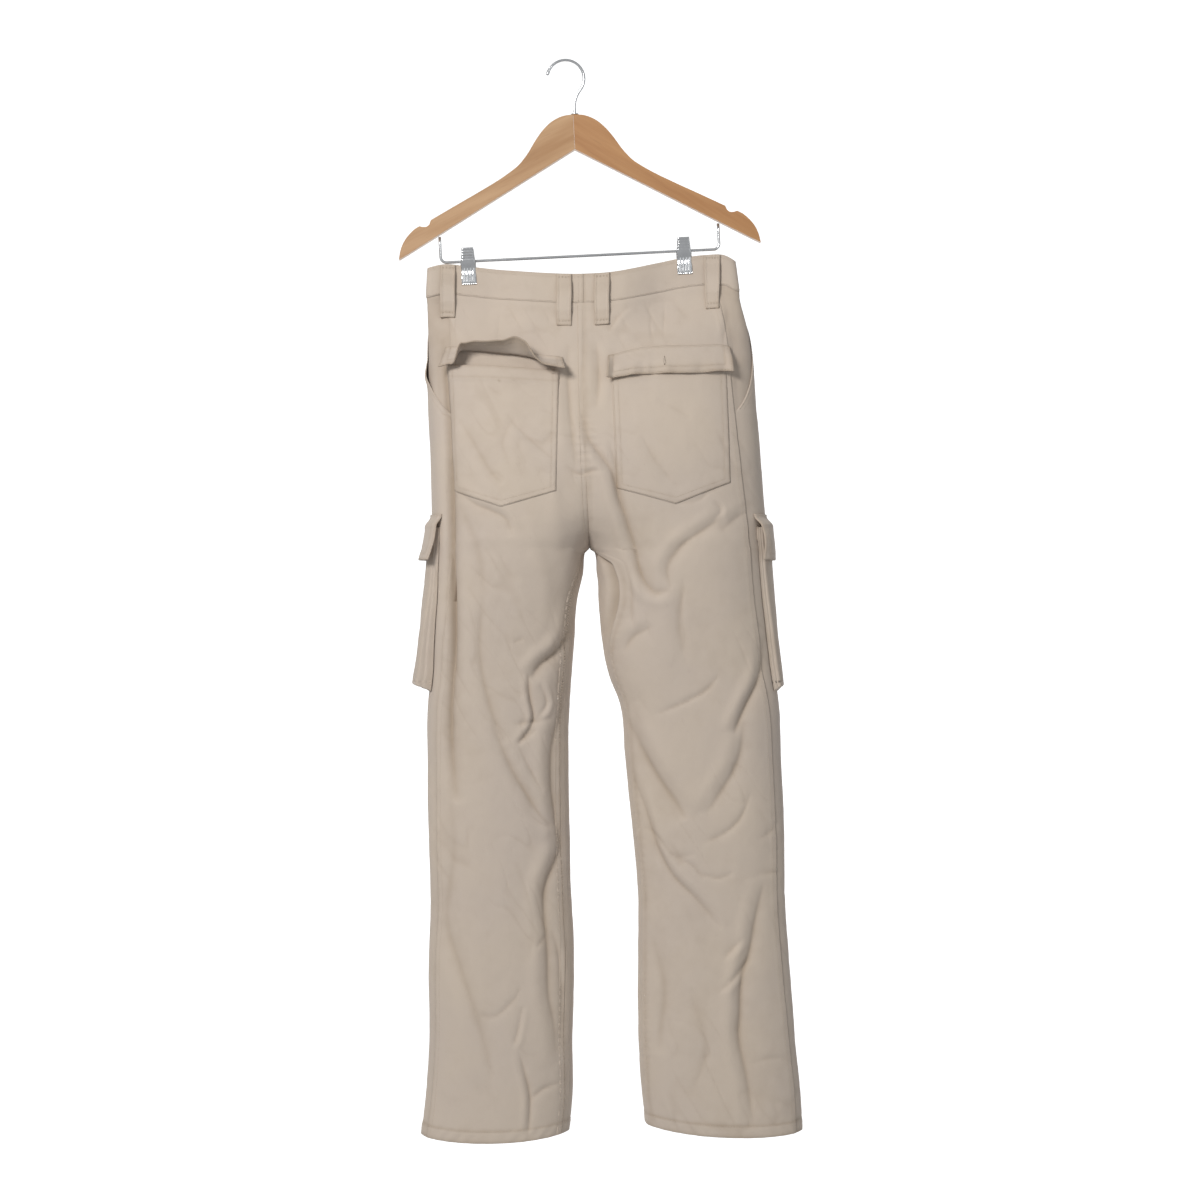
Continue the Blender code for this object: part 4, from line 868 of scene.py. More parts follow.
FLAP_WALL = 1.5
FLAPS = {  # the sewn line's points (x, row), the flap's length, and its turn in degrees at shares of the line
    "left": ([(-146, 353), (-110, 350.5), (-75, 351.5), (-40, 354), (-3, 358)], 30.0,
             [(0, 26), (0.06, 34), (0.115, 42), (0.15, 88), (0.20, 98), (0.35, 104), (0.50, 114), (0.63, 134),
              (0.70, 118), (0.77, 76), (0.83, 58), (0.92, 52), (1, 50)]),
    "right": ([(200, 360), (158, 360), (113, 355), (84, 353), (52, 357)], 32.0, [(0, 4), (0.5, 0), (1, 6)]),
}


def flap_strips(side, alongs):
    """A flap's middle at 41 steps down each strip: from its sewn line it runs down the worn panel over the pocket,
    or bends up and out where it is turned, so that each strip keeps its length."""
    line, length, turns = (np.array(part, float) for part in FLAPS[side])
    fine = np.linspace(0, 1, 41)[:, None]
    along = alongs[None, :] + 0 * fine
    share = np.clip(along, 0, 1) * (len(line) - 1)
    x0, row0 = (through(np.arange(len(line)), line[:, k], share) for k in (0, 1))
    spread = np.sign(line[-1, 0] - line[0, 0]) * (4.0 if side == "left" else 1.5) * (2 * along - 1) ** 3
    length = length * (1 + (0.10 * np.sin(np.pi * np.clip(along, 0, 1)) if side == "right" else 0.0))
    turn = np.radians(through(turns[:, 0], turns[:, 1], along)) * eased(fine * 2.6)
    below = np.cumsum(length / 40 * np.cos(turn) * (fine > 0), axis=0)
    out_by = np.cumsum(length / 40 * np.sin(turn) * (fine > 0), axis=0)
    x, row = x0 + spread * fine + 2 * (along - np.clip(along, 0, 1)), row0 + np.clip(below, 0, None)
    hanging, out, _ = worn_cloth(side, row, angle_at(side, x, row, "back"))
    out = out * (0.35, 1.0, 0.7)
    out /= np.linalg.norm(out, axis=-1, keepdims=True)
    over = 1.9 + (2.6 if side == "left" else 4.4) * eased(fine * 1.5)
    wave = (1.3 * np.sin(along * 17 + 1) + 0.8 * np.sin(along * 41 + 2.2)) * fine**2
    ends = (3.0 if side == "left" else 5.0) * eased((np.abs(2 * along - 1) - 0.88) / 0.12) * eased(fine * 2)
    points = hanging + (over + out_by + wave + ends)[..., None] * out
    points[..., 2] -= np.clip(below, None, 0)
    return points


def flap_grid(side, downs, alongs, lift):
    """A flap's points at shares of its length and of its sewn line, raised along its own normal by lift."""
    points = flap_strips(side, alongs)
    across = flap_strips(side, alongs + 0.008) - flap_strips(side, alongs - 0.008)
    normal = np.cross(np.gradient(points, axis=0), across) * (1 if side == "left" else -1)
    normal /= np.maximum(np.linalg.norm(normal, axis=-1, keepdims=True), 1e-9)
    place = downs * 40
    k = np.clip(np.floor(place).astype(int), 0, 39)
    t = (place - k)[:, None, None]
    normal = normal[k] * (1 - t) + normal[k + 1] * t
    return points[k] * (1 - t) + points[k + 1] * t + lift[..., None] * normal, normal


for side in ("left", "right"):
    downs, alongs = np.linspace(0, 1, 33), np.linspace(0, 1, 121)
    edge = np.minimum(np.minimum(alongs, 1 - alongs)[None, :] * 145, (1 - downs)[:, None] * 30)
    lift = (-0.16 * bell((edge - 1.8) / 0.9) - 0.14 * bell((edge - 7) / 1.1)
            + 0.12 * np.sin(alongs * 75)[None, :] * bell((edge - 4) / 4))
    grid, normal = flap_grid(side, downs, alongs, lift)
    seam = 1.1 * bell(edge / 2.2) + 0.5 * bell((edge - 7) / 1.6) + 0.8 * bell(downs * 30 / 2)[:, None]
    if side == "left":
        # Painted shade: the turned-up lining faces downward and is coloured browner through the seam attribute.
        lining = eased((alongs[None, :] - 0.1) / 0.1) * (1 - eased((alongs[None, :] - 0.7) / 0.1))
        seam = seam + 1.4 * lining * (1 - edge / 40)
    uv = np.stack([alongs[None, :] * 145 + 0 * edge, downs[:, None] * 30 + 0 * edge], axis=-1)
    # Painted shade: each flap is coloured darker within some 9 mm of its edges.
    piece = cloth_piece(f"back_flap_{side}_cloth", grid, uv, FLAP_WALL, TWILL.material, -4 * bell(edge / 9), seam)
    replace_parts(piece, "back_flap_" + side)
    for inset in (1.8, 7.0):
        low = 1 - inset / 30
        for sign in (1, -1) if side == "left" else (1,):
            path, out = flap_grid(side, np.array([low]), np.linspace(inset / 145, 1 - inset / 145, 110),
                                  np.full((1, 110), sign * (FLAP_WALL / 2 + 0.02)))
            sew(path, out * sign)
        for along in (inset / 145, 1 - inset / 145):
            sew(*flap_grid(side, np.linspace(0.04, low, 24), np.array([along]),
                           np.full((24, 1), FLAP_WALL / 2 + 0.02)))
    sew(*flap_grid(side, np.array([0.06]), np.linspace(0.01, 0.99, 110), np.full((1, 110), FLAP_WALL / 2 + 0.02)))

# The right flap's empty buttonhole: a slit worked round with close stitches, with a near-black sheet in the slit as
# painted shadow.
SHADOW = Finish("dark of the buttonhole", {"Base Color": (0.05, 0.03, 0.02), "Roughness": 1.0})
SHADOW.set({"Base Color": SHADOW.mix(SHADOW.noise(SHADOW.place(), 900.0), (0.03, 0.02, 0.012), (0.09, 0.06, 0.04))})
hole_along, hole_down, hole_half = 0.455, 0.56, 0.18
ring = np.linspace(0, 2 * np.pi, 24, endpoint=False)
for part, radius in (("slit", 1.15), ("edge", 2.3)):
    downs = hole_down + hole_half * np.cos(ring) * (1.05 if part == "edge" else 0.9)
    alongs = hole_along + radius * np.sin(ring) * (0.7 + 0.3 * np.cos(ring)) / 145
    above = np.full((1, 1), FLAP_WALL / 2 + 0.06)
    path = np.concatenate([flap_grid("right", np.array([d]), np.array([a]), above)[0][0]
                           for d, a in zip(downs, alongs)])
    out = np.broadcast_to(flap_grid("right", np.array([hole_down]), np.array([hole_along]), np.zeros((1, 1)))[1][0],
                          path.shape)
    if part == "edge":
        sew(path, out, close=True)
    else:
        middle = path.mean(axis=0) - 0.02 * out[0]
        shares = np.array([0.02, 0.5, 1.0])[:, None, None]
        grid = middle + shares * (path - middle)[None]
        grid = np.concatenate([grid, grid[:, :1]], axis=1)
        # Painted shadow: a near-black sheet fills the slit.
        cloth_piece("buttonhole", grid, grid[..., :2], 0.1, SHADOW.material)
stitch_piece("back_pocket_stitches")

# -----------------------------------------------------------------------------------------------------------
# Cargo pockets: on each thigh over the side seam, a flat face held off the leg by a pleated gusset at both sides
# and the foot. The left one bulges at its foot.
# -----------------------------------------------------------------------------------------------------------

CARGO_TOP, CARGO_FOOT, CARGO_BACK, CARGO_WIDTH = 572.0, 770.0, 14.0, 165.0
CARGO_SWELL = {"left": (3.5, 19.0), "right": (4.0, 7.5)}     # how far the face stands off at the mouth and foot
CARGO_SEWN = 1.5
# The gusset's pleat across, from the sewn edge: distance in mm, and share of the swell.
PLEAT = np.array([(0, 0), (0.9, 0.08), (1.8, 0.24), (2.4, 0.42), (3.3, 0.50), (3.9, 0.58), (4.2, 0.74), (4.8, 0.88),
                  (5.8, 0.97), (7.5, 1.02), (10.0, 1.0)])


def leg_side(side, row, distance, lift):
    """Points of the worn thigh at distances round it from the side seam towards the front, raised by lift."""
    walked = walk(side, row[:, 0], front_end)
    return worn_cloth(side, row, at_distances(walked, distance), lift)


for side in ("left", "right"):
    middle = np.linspace(10, CARGO_WIDTH - 10, 52)[1:-1]
    fine = np.linspace(0, len(PLEAT) - 1, 19)
    near, share = (through(np.arange(len(PLEAT)), PLEAT[:, k], fine) for k in (0, 1))
    across = np.concatenate([near, middle, (CARGO_WIDTH - near)[::-1]])
    shares = np.concatenate([share, 1 + 0 * middle, share[::-1]])
    inside = CARGO_TOP + np.linspace(16, 0, 5)
    face_rows = np.linspace(CARGO_TOP, CARGO_FOOT - 10, 64)
    foot_rows, foot_share = CARGO_FOOT - near[::-1], share[::-1]
    rows = np.concatenate([inside, face_rows, foot_rows])
    low = np.concatenate([1 + 0 * inside, 1 + 0 * face_rows, foot_share])
    layer = np.concatenate([0 * inside - 0.5, 0.5 * (1 - eased((face_rows - CARGO_TOP - 17) / 3)),
                            0 * foot_rows])
    row_grid, wide = rows[:, None] + 0 * across, across + 0 * rows[:, None]
    mouth, foot = CARGO_SWELL[side]
    sag = eased((row_grid - CARGO_TOP) / (CARGO_FOOT - CARGO_TOP))
    swell = mouth + (foot - mouth) * sag
    belly = 2.2 * np.sin(np.pi * np.clip(wide / CARGO_WIDTH, 0, 1)) * np.sin(np.pi * sag)
    crumple = (1.4 * np.sin(wide / 13 + row_grid / 21) + 1.0 * np.sin(wide / 7.3 - row_grid / 16)) * (
        eased((row_grid - 640) / 90)) * eased(wide / 30) * (0.4 if side == "right" else 1.0)
    crumple = crumple * (1 - eased((row_grid - 730) / 30) * eased((wide - 55) / 25))
    lift = CARGO_SEWN + (swell + belly + crumple) * np.minimum(shares[None, :], low[:, None]) + layer[:, None]
    edge = np.minimum(np.minimum(wide, CARGO_WIDTH - wide), CARGO_FOOT - row_grid)
    grid, out, high = leg_side(side, row_grid, CARGO_BACK + wide, lift)
    seam = (0.8 * bell(edge / 2) + 0.9 * bell((row_grid - CARGO_TOP) / 2)
            + 0.5 * bell((shares[None, :] - 0.97) / 0.05))
    uv = np.stack([np.cumsum(np.abs(np.gradient(across)))[None, :] + 0 * row_grid, row_grid], axis=-1)
    # Painted shade: the colour follows the crumples, browner in their hollows.
    piece = cloth_piece(f"cargo_pocket_{side}_cloth", grid, uv, WALL, TWILL.material, high + crumple, seam)
    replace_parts(piece, "cargo_pocket_" + side)
    trail = np.linspace(CARGO_TOP + 2, CARGO_FOOT - 1.4, 90)[:, None]
    for inset in (1.0, CARGO_WIDTH - 1.0):
        sew(*leg_side(side, trail, CARGO_BACK + inset + 0 * trail, CARGO_SEWN + WALL / 2 + 0.3))
    for inset in (11.0, CARGO_WIDTH - 11.0):
        held = (np.interp(trail, rows[5:69], lift[5:69, np.argmin(np.abs(across - inset))]) + WALL / 2 + 0.05)
        sew(*leg_side(side, trail[:-4], CARGO_BACK + inset + 0 * trail[:-4], held[:-4]))
    hem = np.linspace(12, CARGO_WIDTH - 12, 100)[None, :]
    height = np.interp(hem, across[16:-16], lift[5 + 5, 16:-16]) + WALL / 2 + 0.05
    sew(*leg_side(side, rows[10] + 0 * hem, CARGO_BACK + hem, height))

# -----------------------------------------------------------------------------------------------------------
# Cargo flaps: doubled twill, sewn above each mouth in two rows and lying over it. The left one's free edge
# stands off.
# -----------------------------------------------------------------------------------------------------------

CARGO_FLAP_TOP, CARGO_FLAP_LENGTH, CARGO_FLARE = 556.0, 55.0, {"left": 8.5, "right": 1.6}


def cargo_flap_at(side, down, distance, lift):
    """A point of a cargo flap: sewn at its top, rising over the pocket's mouth, and flaring to its free edge."""
    mouth, flare = CARGO_SWELL[side][0], CARGO_FLARE[side]
    over = (CARGO_SEWN + (mouth + 3.6) * eased((down - 0.04) / 0.22)
            + flare * np.clip((down - 0.3) / 0.7, 0, 1) ** 1.4)
    share = distance / (CARGO_WIDTH + 6)
    over = over + (0.9 * np.sin(share * 11 + 1) + 0.5 * np.sin(share * 27)) * down**2
    over = over + 1.8 * eased((np.abs(2 * share - 1) - 0.86) / 0.14) * down * np.sign(flare - 3)
    over = over + (6.0 * (1 - eased(share / 0.2)) * bell((down - 0.55) / 0.33) if side == "right" else 0.0)
    row = CARGO_FLAP_TOP + CARGO_FLAP_LENGTH * down
    return leg_side(side, row, CARGO_BACK - 3 + distance, over + lift)


for side in ("left", "right"):
    down, wide = np.meshgrid(np.linspace(0, 1, 40), np.linspace(0, CARGO_WIDTH + 6, 96), indexing="ij")
    edge = np.minimum(np.minimum(wide, CARGO_WIDTH + 6 - wide), (1 - down) * CARGO_FLAP_LENGTH)
    lift = (-0.3 * bell(edge / 1.1) - 0.16 * bell((edge - 2) / 1) - 0.14 * bell((edge - 7.5) / 1.1)
            + 0.14 * np.sin((wide + down * 55) / 2.1) * bell((edge - 4.5) / 3))
    grid, out, high = cargo_flap_at(side, down, wide, lift)
    seam = bell(edge / 2.2) + 0.5 * bell((edge - 7.5) / 1.8) + 0.6 * bell(down * 55 / 2)
    piece = cloth_piece(f"cargo_flap_{side}_cloth", grid, np.stack([wide, down * 55], axis=-1), FLAP_WALL,
                        TWILL.material, high, seam)
    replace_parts(piece, "cargo_flap_" + side)
    for inset in (2.0, 7.5):
        low = 1 - inset / CARGO_FLAP_LENGTH
        fall = np.linspace(0.03, low, 36)[:, None]
        for distance in (inset, CARGO_WIDTH + 6 - inset):
            sew(*cargo_flap_at(side, fall, distance + 0 * fall, FLAP_WALL / 2 + 0.02))
        run = np.linspace(inset, CARGO_WIDTH + 6 - inset, 100)[None, :]
        sew(*cargo_flap_at(side, low + 0 * run, run, FLAP_WALL / 2 + 0.02))
    run = np.linspace(1, CARGO_WIDTH + 5, 100)[None, :]
    for down in (0.03, 0.13):
        sew(*cargo_flap_at(side, down + 0 * run, run, FLAP_WALL / 2 + 0.05))
stitch_piece("cargo_stitches")

# -----------------------------------------------------------------------------------------------------------
# Front pockets and fly: the slanting mouths show a facing of the same twill, and the fly is a doubled placket
# with a J of stitches, closed at the waist by one sewn-through button.
# -----------------------------------------------------------------------------------------------------------

for side in ("left", "right"):
    rows = np.linspace(WAIST + BAND_HEIGHT - 3, WAIST + BAND_HEIGHT + SLANT_HEIGHT + 8, 60)
    reach = np.clip(slant_skip(rows), 0, None) + 15
    want = -LAP + (reach + LAP)[:, None] * np.linspace(0, 1, 31)
    row_grid = rows[:, None] + 0 * want
    walked = walk(side, rows, front_end)
    lift = -LAP_LIFT - 1.0 * eased(want / 9) * eased((row_grid - WAIST - BAND_HEIGHT - 2) / 8)
    grid, out, high = worn_cloth(side, row_grid, at_distances(walked, want), lift)
    # Painted shade: the facing inside the mouth is coloured as if 5 mm deeper.
    piece = cloth_piece(f"front_pocket_facing_{side}_cloth", grid, np.stack([want, row_grid], axis=-1), WALL,
                        TWILL.material, high - 5)
    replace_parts(piece, "front_pocket_facing_" + side)
    rows = np.arange(WAIST + BAND_HEIGHT + 3, WAIST + BAND_HEIGHT + SLANT_HEIGHT - 4, 2.0)
    walked = walk(side, rows, front_end)
    gape = mouth_gape(side, (rows - WAIST - BAND_HEIGHT) / SLANT_HEIGHT)
    for inset in (1.8, 7.4):
        at = slant_skip(rows) + inset
        sew(*worn_cloth(side, rows[:, None], at_distances(walked, at[:, None]),
                        (gape * bell(inset / 14))[:, None] + WALL / 2 + 0.1))

FLY_WIDTH, FLY_LENGTH = 36.0, 165.0


def fly_at(down, along, lift):
    """A point of the fly placket: it hangs beside the front seam and is cut to a curve at its foot."""
    row = WAIST + BAND_HEIGHT + 2.0 + (FLY_LENGTH - 0.5) * down
    width = FLY_WIDTH * np.sqrt(np.clip(1 - np.clip((down - 0.62) / 0.39, 0, 1) ** 2, 0.02, 1))
    x = column("left_inner", row) - 0.8 - width * along
    return worn_cloth("left", row, angle_at("left", x, row, "front"), 1.55 + lift)


down, along = np.meshgrid(np.linspace(0, 1, 90), np.linspace(0, 1, 30), indexing="ij")
edge = np.minimum(along, 1 - along) * 36
grid, out, high = fly_at(down, along, -0.3 * bell(edge / 1.1) - 0.15 * bell((edge - 2) / 1))
piece = cloth_piece("fly_placket_cloth", grid, np.stack([along * 36, down * 165], axis=-1), WALL,
                    TWILL.material, high, bell(edge / 2))
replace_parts(piece, "fly_placket")
for inset in (0.93, 0.78):
    fall = np.linspace(0.01, 0.985, 120)[:, None]
    sew(*fly_at(fall, inset + 0 * fall, WALL / 2 + 0.05))
low, high_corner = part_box("waist_button")
button_at = np.array((low + high_corner) / 2) / MM
row = np.array([[WAIST + BAND_HEIGHT / 2]])
button_out = facing("left", row, angle_at("left", np.array([[button_at[0]]]), row, "front"))[0, 0]
button_side = np.cross(button_out, (0.0, 0.0, 1.0))
button_side /= np.linalg.norm(button_side)
button_up = np.cross(button_side, button_out)
ring = np.linspace(0, 2 * np.pi, 49)
profile = np.array([(0.02, 0.2), (3.4, 0.2), (4.6, 0.5), (5.8, 1.2), (7.2, 1.55), (8.1, 1.2), (8.45, 0.4),
                    (8.3, -0.6), (7.4, -1.3), (4.0, -1.6), (0.02, -1.6)])
fine = np.linspace(0, len(profile) - 1, 61)
radius, height = (through(np.arange(len(profile)), profile[:, k], fine)[:, None] for k in (0, 1))
grid = (button_at + (radius * np.cos(ring))[..., None] * button_side
        + (radius * np.sin(ring))[..., None] * button_up + (height + 0 * ring)[..., None] * button_out)
HORN = Finish("horn button", {"Roughness": 0.35, "Coat Weight": 0.2})
streak = HORN.noise(HORN.turned(HORN.place(), Scale=(1.0, 1.0, 5.0)), 160.0, 4.0)
HORN.set({"Base Color": HORN.mix((streak * 1.8 - 0.4).clipped(), (0.20, 0.13, 0.08), (0.50, 0.38, 0.25)),
          "Roughness": 0.28 + streak * 0.2})


def closed_piece(name, rings, material):
    """A closed solid from rings of points, each ring closed on itself and each end drawn to a pole."""
    count, sides = rings.shape[:2]
    index = np.arange(count * sides).reshape(count, sides)
    after = np.roll(index, -1, axis=1)
    quads = np.stack([index[:-1], index[1:], after[1:], after[:-1]], axis=-1).reshape(-1, 4).tolist()
    first, last = count * sides, count * sides + 1
    caps = np.concatenate([np.stack([np.full(sides, first), index[0], after[0]], axis=-1),
                           np.stack([np.full(sides, last), after[-1], index[-1]], axis=-1)]).tolist()
    points = np.concatenate([rings.reshape(-1, 3), rings[0].mean(axis=0)[None], rings[-1].mean(axis=0)[None]])
    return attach(placed(name, points, quads + caps, material), "root")


button = closed_piece("waist_button_horn", grid[:, :-1], HORN.material)
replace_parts(button, "waist_button")
for across in (-1.3, 1.3):
    path = button_at + across * button_side + np.linspace(-1.6, 1.6, 8)[:, None] * button_up + 0.45 * button_out
    for _ in range(2):
        sew(path, np.broadcast_to(button_out, path.shape))
stitch_piece("front_stitches")

# -----------------------------------------------------------------------------------------------------------
# Hanger arms: two pieces of lacquered wood, mitred and glued in the middle under the hook, with rounded edges and
# a strap notch near each tip. The grain runs along each arm.
# -----------------------------------------------------------------------------------------------------------

TILT = math.radians(-2.8)
WOOD_THICKNESS, HOOK_WIRE, HOOK_RADIUS, BAR_WIRE, BAR_DROP = 12.0, 3.6, 22.7, 3.5, 172.9
HOOK_CENTRE, ARM_UNDERSIDE, CLIP_PLACES = (-7.3, 45.0), (-42.7, -0.564), {"left": -137.3, "right": 127.1}


def hung(x, y, z):
    """Points of the hanger, given from the foot of its hook, turned by its tilt and hung by the hook's crown."""
    cos, sin = math.cos(TILT), math.sin(TILT)
    a, b = x - HOOK_CENTRE[0], z - HOOK_CENTRE[1]
    height = b * cos - a * sin - HOOK_RADIUS + HOOK_WIRE / 2
    return np.stack(np.broadcast_arrays(a * cos + b * sin, y, height), axis=-1)


SHOULDER = np.array([(0, 0), (14, -1.8), (28, -8.5), (38, -17.5), (46.5, -28), (59.8, -47.6), (70, -59), (82, -67.8),
                     (97, -77), (116, -87.3), (154, -107), (180.3, -120.8)])
NOTCH = np.array([(182.3, -125.8), (185.5, -128.4), (190, -128.7), (194.8, -127.6)])
TIP = np.array([(201, -131), (206.4, -135.8), (212, -142), (216, -148.2), (219.5, -157), (221.6, -167.0)])
for side, sign in (("left", -1), ("right", 1)):
    parts = []
    for knots, steps in ((SHOULDER, 6), (NOTCH, 4), (TIP, 4)):
        run = np.concatenate([[0], np.cumsum(np.linalg.norm(np.diff(knots, axis=0), axis=1))])
        at = np.interp(np.linspace(0, len(knots) - 1, steps * (len(knots) - 1) + 1), np.arange(len(knots)), run)
        parts.append(np.stack([through(run, knots[:, k], at) for k in (0, 1)], axis=1))
    under = np.linspace(221.6, 0, 24)
    parts.append(np.stack([under, ARM_UNDERSIDE[0] + ARM_UNDERSIDE[1] * under + 0.3 * (under > 221)], axis=1))
    line = np.concatenate(parts)
    outline = hung(sign * np.maximum(line[:, 0], 0.08), 0.0, line[:, 1])
    if sign > 0:
        outline = outline[::-1]
    WOOD = Finish("lacquered wood " + side, {"Coat Weight": 0.35, "Coat Roughness": 0.18})
    lean = math.atan(-ARM_UNDERSIDE[1]) * sign - TILT
    grain = WOOD.turned(WOOD.place(), Rotation=(0.0, -lean, 0.0))
    bands, pores, broad = (WOOD.noise(WOOD.turned(grain, Scale=scale), 1.0, detail) for scale, detail in (
        ((7.0, 60.0, 95.0), 3.0), ((40.0, 300.0, 900.0), 2.0), ((2.2, 14.0, 20.0), 2.0)))
    tone = (bands * 2.2 - 0.65 + (broad - 0.5) * 1.1).clipped()
    pale, dark = {"left": ((0.52, 0.318, 0.165), (0.39, 0.208, 0.088)),
                  "right": ((0.48, 0.25, 0.10), (0.355, 0.155, 0.05))}[side]
    colour = WOOD.mix(tone, pale, dark)
    colour = WOOD.mix(((pores - 0.58) * 4.0).clipped() * 0.45, colour, (0.26, 0.115, 0.04))
    WOOD.set({"Base Color": colour, "Roughness": 0.34 + pores * 0.12, "Normal": WOOD.bump(0.15, 0.0002, pores + bands)})
    arm = placed("hanger_arm_" + side + "_wood", outline, [list(range(len(outline)))], WOOD.material)
    thick = arm.modifiers.new("thickness", "SOLIDIFY")
    thick.thickness, thick.offset = WOOD_THICKNESS * MM, 0.0
    rounding = arm.modifiers.new("rounded edges", "BEVEL")
    rounding.width, rounding.segments = 2.4 * MM, 5
    rounding.limit_method, rounding.angle_limit, rounding.harden_normals = "ANGLE", math.radians(55), True
    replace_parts(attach(arm, "root"), "hanger_arm_" + side)

# -----------------------------------------------------------------------------------------------------------
# Hook and trouser bar: chromed steel wire. The hook's tip is dipped to a small bead, its stem is screwed into the
# wood, and the bar's ends are bent up into the arms.
# -----------------------------------------------------------------------------------------------------------

CHROME = Finish("chromed steel", {"Metallic": 0.85, "Roughness": 0.13})
smudge = CHROME.noise(CHROME.place(), 90.0, 4.0)
CHROME.set({"Base Color": CHROME.mix(smudge, (0.60, 0.61, 0.62), (0.78, 0.79, 0.80)),
            "Roughness": 0.10 + smudge * 0.14})


def arc(centre, radius, start, end, steps):
    """Points (x, z) of an arc, from start to end in degrees."""
    angles = np.radians(np.linspace(start, end, steps))
    return np.stack([centre[0] + radius * np.cos(angles), centre[1] + radius * np.sin(angles)], axis=1)


def wire(name, path, radius, sides=16):
    """A round wire: a circle of the given radii carried square to a path of points, each end closed flat."""
    along = np.gradient(path, axis=0)
    along /= np.linalg.norm(along, axis=1, keepdims=True)
    flat = np.cross(along, (0.0, 1.0, 0.0))
    flat /= np.maximum(np.linalg.norm(flat, axis=1, keepdims=True), 1e-9)
    up = np.cross(flat, along)
    radius = np.broadcast_to(radius, len(path))[:, None, None]
    turn = np.linspace(0, 2 * np.pi, sides, endpoint=False)[None, :, None]
    rings = path[:, None] + radius * (np.cos(turn) * flat[:, None] + np.sin(turn) * up[:, None])
    return closed_piece(name, rings, CHROME.material)


leave = math.radians(-40.0)
crown = arc(HOOK_CENTRE, HOOK_RADIUS, 168, -40, 90)
swan_centre = (crown[-1][0] + 35 * math.cos(leave), crown[-1][1] + 35 * math.sin(leave))
swan = arc(swan_centre, 35, 140, 180, 24)[1:]
stem = np.stack([np.full(12, swan[-1][0]), np.linspace(swan[-1][1] - 1, 0.5, 12)], axis=1)
line = np.concatenate([crown, swan, stem])
run = np.concatenate([[0], np.cumsum(np.linalg.norm(np.diff(line, axis=0), axis=1))])
rounding = np.sqrt(np.clip(1 - np.clip(1 - run / 1.9, 0, 1) ** 2, 0.02, 1))
thick = HOOK_WIRE / 2 * (1 + 0.22 * bell((run - 3) / 3)) * rounding
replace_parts(wire("hanger_hook_wire", hung(line[:, 0], 0.0, line[:, 1]), thick), "hanger_hook")
collar = np.array([(0.5, 1.6), (4.4, 1.6), (4.9, 1.2), (4.9, 0.4), (4.0, 0.1), (0.5, 0.1)])
turn = np.linspace(0, 2 * np.pi, 32, endpoint=False)
rings = hung(swan[-1][0] + collar[:, 0, None] * np.cos(turn), collar[:, 0, None] * np.sin(turn),
             collar[:, 1, None] + 0 * turn)
closed_piece("hanger_collar", rings, CHROME.material)
foot = ARM_UNDERSIDE[0] + ARM_UNDERSIDE[1] * 170.7 - BAR_WIRE / 2 - 0.6
line = np.concatenate([[(-170.7, foot)], [(-170.7, -150.0)], arc((-163.7, -165.9), 7, 180, 270, 10),
                       np.stack([np.linspace(-150, 150, 41), np.full(41, -BAR_DROP)], axis=1),
                       arc((163.7, -165.9), 7, 270, 360, 10), [(170.7, -150.0)], [(170.7, foot)]])
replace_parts(wire("hanger_bar_wire", hung(line[:, 0], 0.0, line[:, 1]), BAR_WIRE / 2), "hanger_bar")

# -----------------------------------------------------------------------------------------------------------
# Trouser clips: each is two pressed plates, ribbed across at the grip and along below it, with turned-in edges and
# toothed feet, held shut by a spring wound round the bar.
# -----------------------------------------------------------------------------------------------------------

CLOSED = 4.0                # a plate's middle from the hanger's plane, where it presses the cloth
